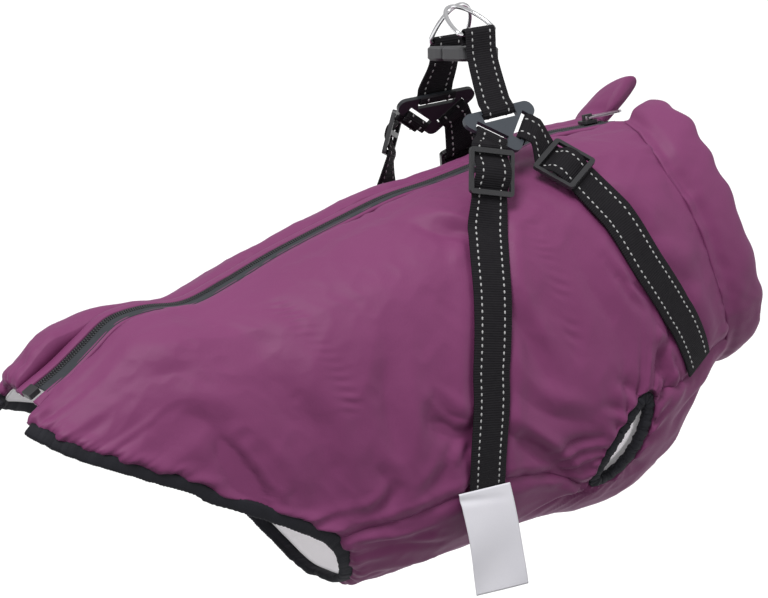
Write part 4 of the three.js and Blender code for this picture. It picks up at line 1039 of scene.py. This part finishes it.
# Width of each piece's rounded edges, in metres.
PLATE_EDGE = 0.0007
SLIDER_EDGE = 0.0006
ZIP_EDGE = 0.0003
BOX_EDGE = 0.0004
# The far (left) plate takes the darker copy of the plastic: painted shade.
for word, plastic in (("right", plate_plastic), ("left", far_plate_painted_shade)):
    node = f"tri_plate_{word}"
    rounded_copy(f"{node}_moulded", node, plastic, PLATE_EDGE, "coat")
    for strap_word in ("girth", "chest"):
        node = f"{strap_word}_slider_{word}"
        rounded_copy(f"{node}_moulded", node, black_plastic, SLIDER_EDGE, "coat")
rounded_copy("zip_slider_moulded", "zip_slider", black_plastic, ZIP_EDGE, "coat")
rounded_copy("zip_box_moulded", "zip_box", black_plastic, BOX_EDGE, "coat")
rounded_copy("zip_pull_tab", "zip_pull", pull_metal, ZIP_EDGE, "zip_pull")


# Harness straps: 25 mm black ribbed webbing with two rows of light reflective stitches, looped
# through the plates and sliders, sewn down on the coat and into the belly seam.
webbing, web_tree, web_shader = new_material("black_webbing", (0.008, 0.007, 0.009), 0.85)
web_shader.inputs["Specular IOR Level"].default_value = 0.2
mottle(web_tree, web_shader, (0.006, 0.005, 0.007), (0.013, 0.012, 0.014), 260.0)
web_uv = web_tree.nodes.new("ShaderNodeTexCoord")
web_ribs = web_tree.nodes.new("ShaderNodeTexWave")
web_ribs.wave_type = "BANDS"
web_ribs.bands_direction = "X"
web_ribs.inputs["Scale"].default_value = 1.0
web_ribs.inputs["Distortion"].default_value = 0.6
web_tree.links.new(web_uv.outputs["UV"], web_ribs.inputs["Vector"])
relief(web_tree, web_shader, web_ribs.outputs["Fac"], 0.55, 0.0005)
thread, thread_tree, thread_shader = new_material("reflective_thread", (0.42, 0.42, 0.42), 0.5)
mottle(thread_tree, thread_shader, (0.36, 0.36, 0.36), (0.50, 0.50, 0.50), 400.0)

WEBBING_WIDTH = 25.0
# Middle and length of each of a plate's slots, in the plate's own plane.
PLATE_SLOTS = {"top": (0.0, 11.0, 25.0), "chest": (11.56, 1.0, 21.0), "girth": (-11.56, 1.0, 21.0)}


def plate_frame(side):
    """Centre of a three-slot plate, and the directions of its x, y and face."""
    x = unit(np.array([0.98, -0.108 * side, 0.164]))
    y = unit(np.array([-0.196, -0.539 * side, 0.818]))
    z = np.cross(x, y) if side < 0 else np.cross(y, x)
    at = np.array([5.3, -47.0, -78.1]) if side < 0 else np.array([6.5, 42.5, -71.5])
    return at, x, y, z


def loop_round(side, slot_name, outward):
    """Stations of webbing looped round the bar of a plate's slot, from its underside to its face."""
    at, x, y, z = plate_frame(side)
    hole_x, hole_y, length = PLATE_SLOTS[slot_name]
    along = unit(x * outward[0] + y * outward[1])
    centre = at + x * hole_x + y * hole_y
    reach = np.array([6.8, 3.2, 1.1, 0.6, 1.1, 3.2, 6.8, 9.8])
    rise = np.array([-2.8, -2.8, -1.5, 0.0, 1.5, 2.8, 2.8, 2.8])
    tilt = np.radians([-90.0, -90.0, -150.0, 180.0, 150.0, 90.0, 90.0, 90.0])
    points = centre + along * reach[:, None] + z * rise[:, None]
    out = along * np.cos(tilt)[:, None] + z * np.sin(tilt)[:, None]
    return points, out, np.full(len(reach), length - 0.6), np.tile(np.cross(z, along), (len(reach), 1))


def slider_axes(at, along, out):
    """Centre of a slider, the way the webbing runs through it and its face."""
    y = unit(along)
    x = unit(np.cross(y, out))
    return at, y, np.cross(x, y)


def girth_slider_axes(side):
    """The girth slider hangs free below the plate."""
    if side < 0:
        at, along, out = [-17.0, -63.0, -102.0], [-0.13, -0.2, -0.97], [0, -1, 0.25]
    else:
        at, along, out = [-11.4, 59.1, -84.7], [-0.267, 0.037, -0.965], [-0.75, 0.65, 0.2]
    return slider_axes(np.array(at), np.array(along), np.array(out))


CHEST_SLIDER_S = 10.0
CHEST_SLIDER_ANGLE = 33.0


def chest_slider_axes(side):
    """The chest slider lies just over the coat, beside the plate."""
    at = on_form(CHEST_SLIDER_S, side * CHEST_SLIDER_ANGLE, 6.0)
    plate_at, x, y, z = plate_frame(side)
    bar = plate_at + x * PLATE_SLOTS["chest"][0] + y * PLATE_SLOTS["chest"][1]
    out = unit(form_normal(CHEST_SLIDER_S, side * CHEST_SLIDER_ANGLE) + 0.3 * z)
    along = at - bar
    return slider_axes(at, along - out * np.dot(along, out), out)


def through_slider(axes, first=0, last=7):
    """Stations under the slider's end bars and over its middle one, some left out at either end."""
    at, y, z = axes
    reach = np.array([-17.0, -11.4, -3.4, 0.0, 3.4, 11.4, 17.0])[first:last]
    rise = np.array([0.0, 0.0, 4.6, 5.0, 4.6, 0.0, 0.0])[first:last]
    points = at + y * reach[:, None] + z * rise[:, None]
    wide = np.full(len(reach), WEBBING_WIDTH)
    return points, np.tile(z, (len(reach), 1)), wide, np.tile(np.cross(y, z), (len(reach), 1))


def along_coat(strap_row, side, first):
    """Stations of webbing that lies on the coat, its top shifted forward."""
    line, _, near_by, far_by = strap_row
    size = mix(first, line[-1, 0], np.arange(23) / 22)
    s = spline(line, size) + strap_shift(near_by, far_by, size, 1.0 if side > 0 else 0.0)
    points = on_form(s, side * size, 1.7 + 0 * s)
    return points, form_normal(s, side * size), np.full(len(s), WEBBING_WIDTH), np.zeros((len(s), 3))


def path_spline(values, count):
    """Rows of values joined by a smooth curve and spread evenly along its length."""
    knots = np.concatenate([[0], np.cumsum(np.linalg.norm(np.diff(values[:, :3], axis=0), axis=1))])
    at = np.linspace(0, knots[-1], count)
    columns = [spline(np.column_stack([knots, column]), at) for column in values.T]
    return np.stack(columns, axis=-1)


WEBBING_HALF_THICKNESS = 0.75
WEB_RIB = 0.21
STITCH_PITCH = 4.1
STITCH_INSET = 4.9
STITCH_RISE = 0.78
STITCH_BEAD = (1.25, 0.66, 0.32)


def strap(name, node, stations, step=1.2, across_last=None):
    """Ribbon of webbing on a smooth path through the stations, and the two rows of stitches on it."""
    points = np.concatenate([group[0] for group in stations])
    out = np.concatenate([group[1] for group in stations])
    wide = np.concatenate([group[2] for group in stations])
    held = np.concatenate([group[3] for group in stations])
    across, out = path_frames(points, out, False)
    is_held = np.any(held != 0, axis=1)
    across[is_held] = (held * np.sign(np.sum(held * across, axis=1, keepdims=True)))[is_held]
    if across_last is not None:
        first = len(stations[0][0])
        across[first:] = across_last * np.sign(across[first:] @ across_last)[:, None]
    length = np.sum(np.linalg.norm(np.diff(points, axis=0), axis=1))
    rows = path_spline(np.column_stack([points, across, out, wide]), int(length / step))
    points, across, out, wide = rows[:, :3], unit(rows[:, 3:6]), unit(rows[:, 6:9]), rows[:, 9]
    half_across = np.array([-1, -0.97, -0.6, -0.2, 0.2, 0.6, 0.97, 1])
    half = np.concatenate([half_across, half_across[::-1]]) * 0.5
    half_tall = np.array([0.55, 0.95, 1, 1, 1, 1, 0.95, 0.55])
    tall = np.concatenate([half_tall, -half_tall]) * WEBBING_HALF_THICKNESS
    section = np.stack([half * wide[:, None], np.tile(tall, (len(wide), 1))], axis=-1)
    ribbon = swept(name, points, across, out, section, False, webbing)
    layer = ribbon.data.uv_layers.new(name="UVMap")
    corner = np.empty(len(ribbon.data.loops), int)
    ribbon.data.loops.foreach_get("vertex_index", corner)
    run = np.concatenate([[0], np.cumsum(np.linalg.norm(np.diff(points, axis=0), axis=1))])
    uv = np.stack([run[corner // 16] * WEB_RIB, half[corner % 16]], axis=-1)
    layer.data.foreach_set("uv", uv.ravel())
    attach(ribbon, "coat")
    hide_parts(node)
    at = np.arange(2.0, run[-1] - 2.0, STITCH_PITCH)
    pick = np.column_stack([points, across, out, wide])
    dash = np.stack([np.interp(at, run, pick[:, k]) for k in range(10)], axis=-1)
    before = np.stack([np.interp(at - 0.5, run, points[:, k]) for k in range(3)], axis=-1)
    after = np.stack([np.interp(at + 0.5, run, points[:, k]) for k in range(3)], axis=-1)
    ahead = unit(after - before)
    centres = []
    for edge, face in ((-1, -1), (-1, 1), (1, -1), (1, 1)):
        aside = edge * (0.5 * dash[:, 9:] - STITCH_INSET)
        centres.append(dash[:, :3] + dash[:, 3:6] * aside + dash[:, 6:9] * STITCH_RISE * face)
    stitches = scatter(
        f"{name}_stitches", bead(*STITCH_BEAD), np.concatenate(centres),
        np.tile(ahead, (4, 1)), np.tile(dash[:, 3:6], (4, 1)), np.tile(dash[:, 6:9], (4, 1)), thread,
    )
    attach(stitches, "coat")
    return ribbon


for side, word in ((-1, "right"), (1, "left")):
    strap(f"girth_webbing_{word}", f"girth_strap_{word}", [
        loop_round(side, "girth", (-0.673, -0.74)),
        through_slider(girth_slider_axes(side), 0 if side < 0 else 1),
        along_coat(STRAPS[0], side, 44.0 if side < 0 else 50.0),
    ])
    strap(f"chest_webbing_{word}", f"chest_strap_{word}", [
        loop_round(side, "chest", (0.673, -0.74)),
        through_slider(chest_slider_axes(side), 1, 6),
        along_coat(STRAPS[1], side, 58.0),
    ])


# Rings: plated steel wire bent to a D, the straight side in the loop at the top of each back
# strap. They cross at the point that the coat hangs from.
chrome, chrome_tree, chrome_shader = new_material("plated_wire", (0.72, 0.72, 0.74), 0.16, 1.0)
mottle(chrome_tree, chrome_shader, (0.68, 0.68, 0.70), (0.76, 0.76, 0.78), 30.0)
RING_AHEAD = unit(np.array([0.974, 0.2, 0.1]))
# Middle of each ring's bar and of its crown, near and far.
RINGS = {
    -1: (np.array([1.0, -20.0, -18.0]), np.array([1.5, 3.4, -1.4])),
    1: (np.array([4.0, 22.0, -24.0]), np.array([5.0, 7.2, -1.4])),
}
RING_HALF = 15.2
RING_CORNER = 3.0
RING_HEIGHT = 27.5
WIRE_RADIUS = 1.4


def ring_wire(side, word):
    """D-shaped loop of round wire: a straight bar, small corners, and half an ellipse above."""
    bar, crown = RINGS[side]
    rise = crown - bar
    y = unit(rise - RING_AHEAD * np.dot(rise, RING_AHEAD))
    arc = np.linspace(0, np.pi, 73)
    corner_x = np.array([13.2, RING_HALF - 0.9, RING_HALF - 0.25])
    corner_y = np.array([0.28, 0.9, 1.8])
    bow_y = RING_CORNER + (RING_HEIGHT - RING_CORNER) * np.sin(arc)
    px = np.concatenate([np.linspace(-11, 11, 23), corner_x, RING_HALF * np.cos(arc), -corner_x[::-1]])
    py = np.concatenate([np.zeros(23), corner_y, bow_y, corner_y[::-1]])
    path = bar + RING_AHEAD * px[:, None] + y * py[:, None]
    face = np.tile(np.cross(RING_AHEAD, y), (len(path), 1))
    across, out = path_frames(path, face, True)
    turn = np.linspace(0, 2 * np.pi, 16, endpoint=False)
    section = WIRE_RADIUS * np.stack([np.cos(turn), np.sin(turn)], axis=-1)
    wire = swept(f"ring_wire_{word}", path, across, out, section, True, chrome)
    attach(wire, f"ring_{word}")
    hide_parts(f"d_ring_{word}")


ring_wire(-1, "right")
ring_wire(1, "left")


# Back straps: from each plate's top slot up to the ring, over its bar and down into the buckle.
def back_stations(side):
    """The loop at the plate, the outer run, the turn over the ring's bar and the way down."""
    bar = RINGS[side][0]
    outward = np.array([0.0, side, 0.0])
    over_y = np.array([4.6, 3.2, 2.9, 2.05, 0.0, -2.05, -2.7, -1.6])
    over_z = np.array([-14.0, -4.0, 0.0, 2.05, 2.9, 2.05, 0.0, -7.0])
    tilt = np.radians([0.0, 0.0, 0.0, 45.0, 90.0, 135.0, 180.0, 180.0])
    points = bar + outward * over_y[:, None] + np.array([0, 0, 1.0]) * over_z[:, None]
    out = outward * np.cos(tilt)[:, None] + np.array([0, 0, 1.0]) * np.sin(tilt)[:, None]
    return [loop_round(side, "top", (0.0, 1.0)), (points, out, np.full(8, WEBBING_WIDTH), np.zeros((8, 3)))]


for side, word in ((-1, "right"), (1, "left")):
    strap(f"back_webbing_{word}", f"back_strap_{word}", back_stations(side), 0.8, RING_AHEAD)


# Buckle: a side-release buckle of dark grey plastic, fastened, its socket on the near side.
buckle_plastic, buckle_tree, buckle_shader = new_material(
    "grey_buckle_plastic", (0.062, 0.062, 0.066), 0.38
)
mottle(buckle_tree, buckle_shader, (0.055, 0.055, 0.059), (0.070, 0.070, 0.074), 60.0)
BUCKLE_EDGE = 0.0022
rounded_copy("buckle_socket", "buckle_right", buckle_plastic, BUCKLE_EDGE, "coat")
rounded_copy("buckle_tongue", "buckle_left", buckle_plastic, BUCKLE_EDGE, "coat")


# Care label: a folded white satin tape, bare, sewn on at the end of the near girth strap.
label_satin, label_tree, label_shader = new_material("white_label_satin", (0.78, 0.77, 0.83), 0.5)
label_place = mottle(label_tree, label_shader, (0.74, 0.73, 0.79), (0.82, 0.81, 0.86), 50.0)
grain(label_tree, label_shader, label_place, 1300.0, 0.2, 0.0003)
LABEL_LENGTH = 66
LABEL_HALF_WIDTH = 18
LABEL_HALF_THICKNESS = 0.4
label_top = np.array([-34.5, -86.6, -291.7])
label_fall = unit(np.array([0.23, 0.05, -0.97]))
label_wide = unit(np.array([0.98, -0.02, 0.13]))
label_out = unit(np.cross(label_fall, label_wide))
v, u = np.meshgrid(np.linspace(0, 1, 61), np.linspace(-1, 1, 37), indexing="ij")
label_bend = 1.8 * np.sin(np.pi * v) + 0.9 * np.sin(2.2 * np.pi * v + 1.2 * u) * v
label_bend += 0.5 * u**2 * np.sin(np.pi * v)
label_bend -= 0.9 * np.exp(-(((v - 0.10 - 0.03 * u) / 0.035) ** 2)) * (0.5 - 0.5 * u)
label_points = label_top + label_fall * (LABEL_LENGTH * v)[..., None]
label_points = label_points + label_wide * (LABEL_HALF_WIDTH * u)[..., None]
label_points = label_points + label_out * label_bend[..., None]
label_wall = LABEL_HALF_THICKNESS * label_out
label = closed_wall(
    "care_label_satin", label_points + label_wall, label_points - label_wall,
    np.ones((60, 36), bool), label_satin,
)
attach(label, "coat")
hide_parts("care_label")
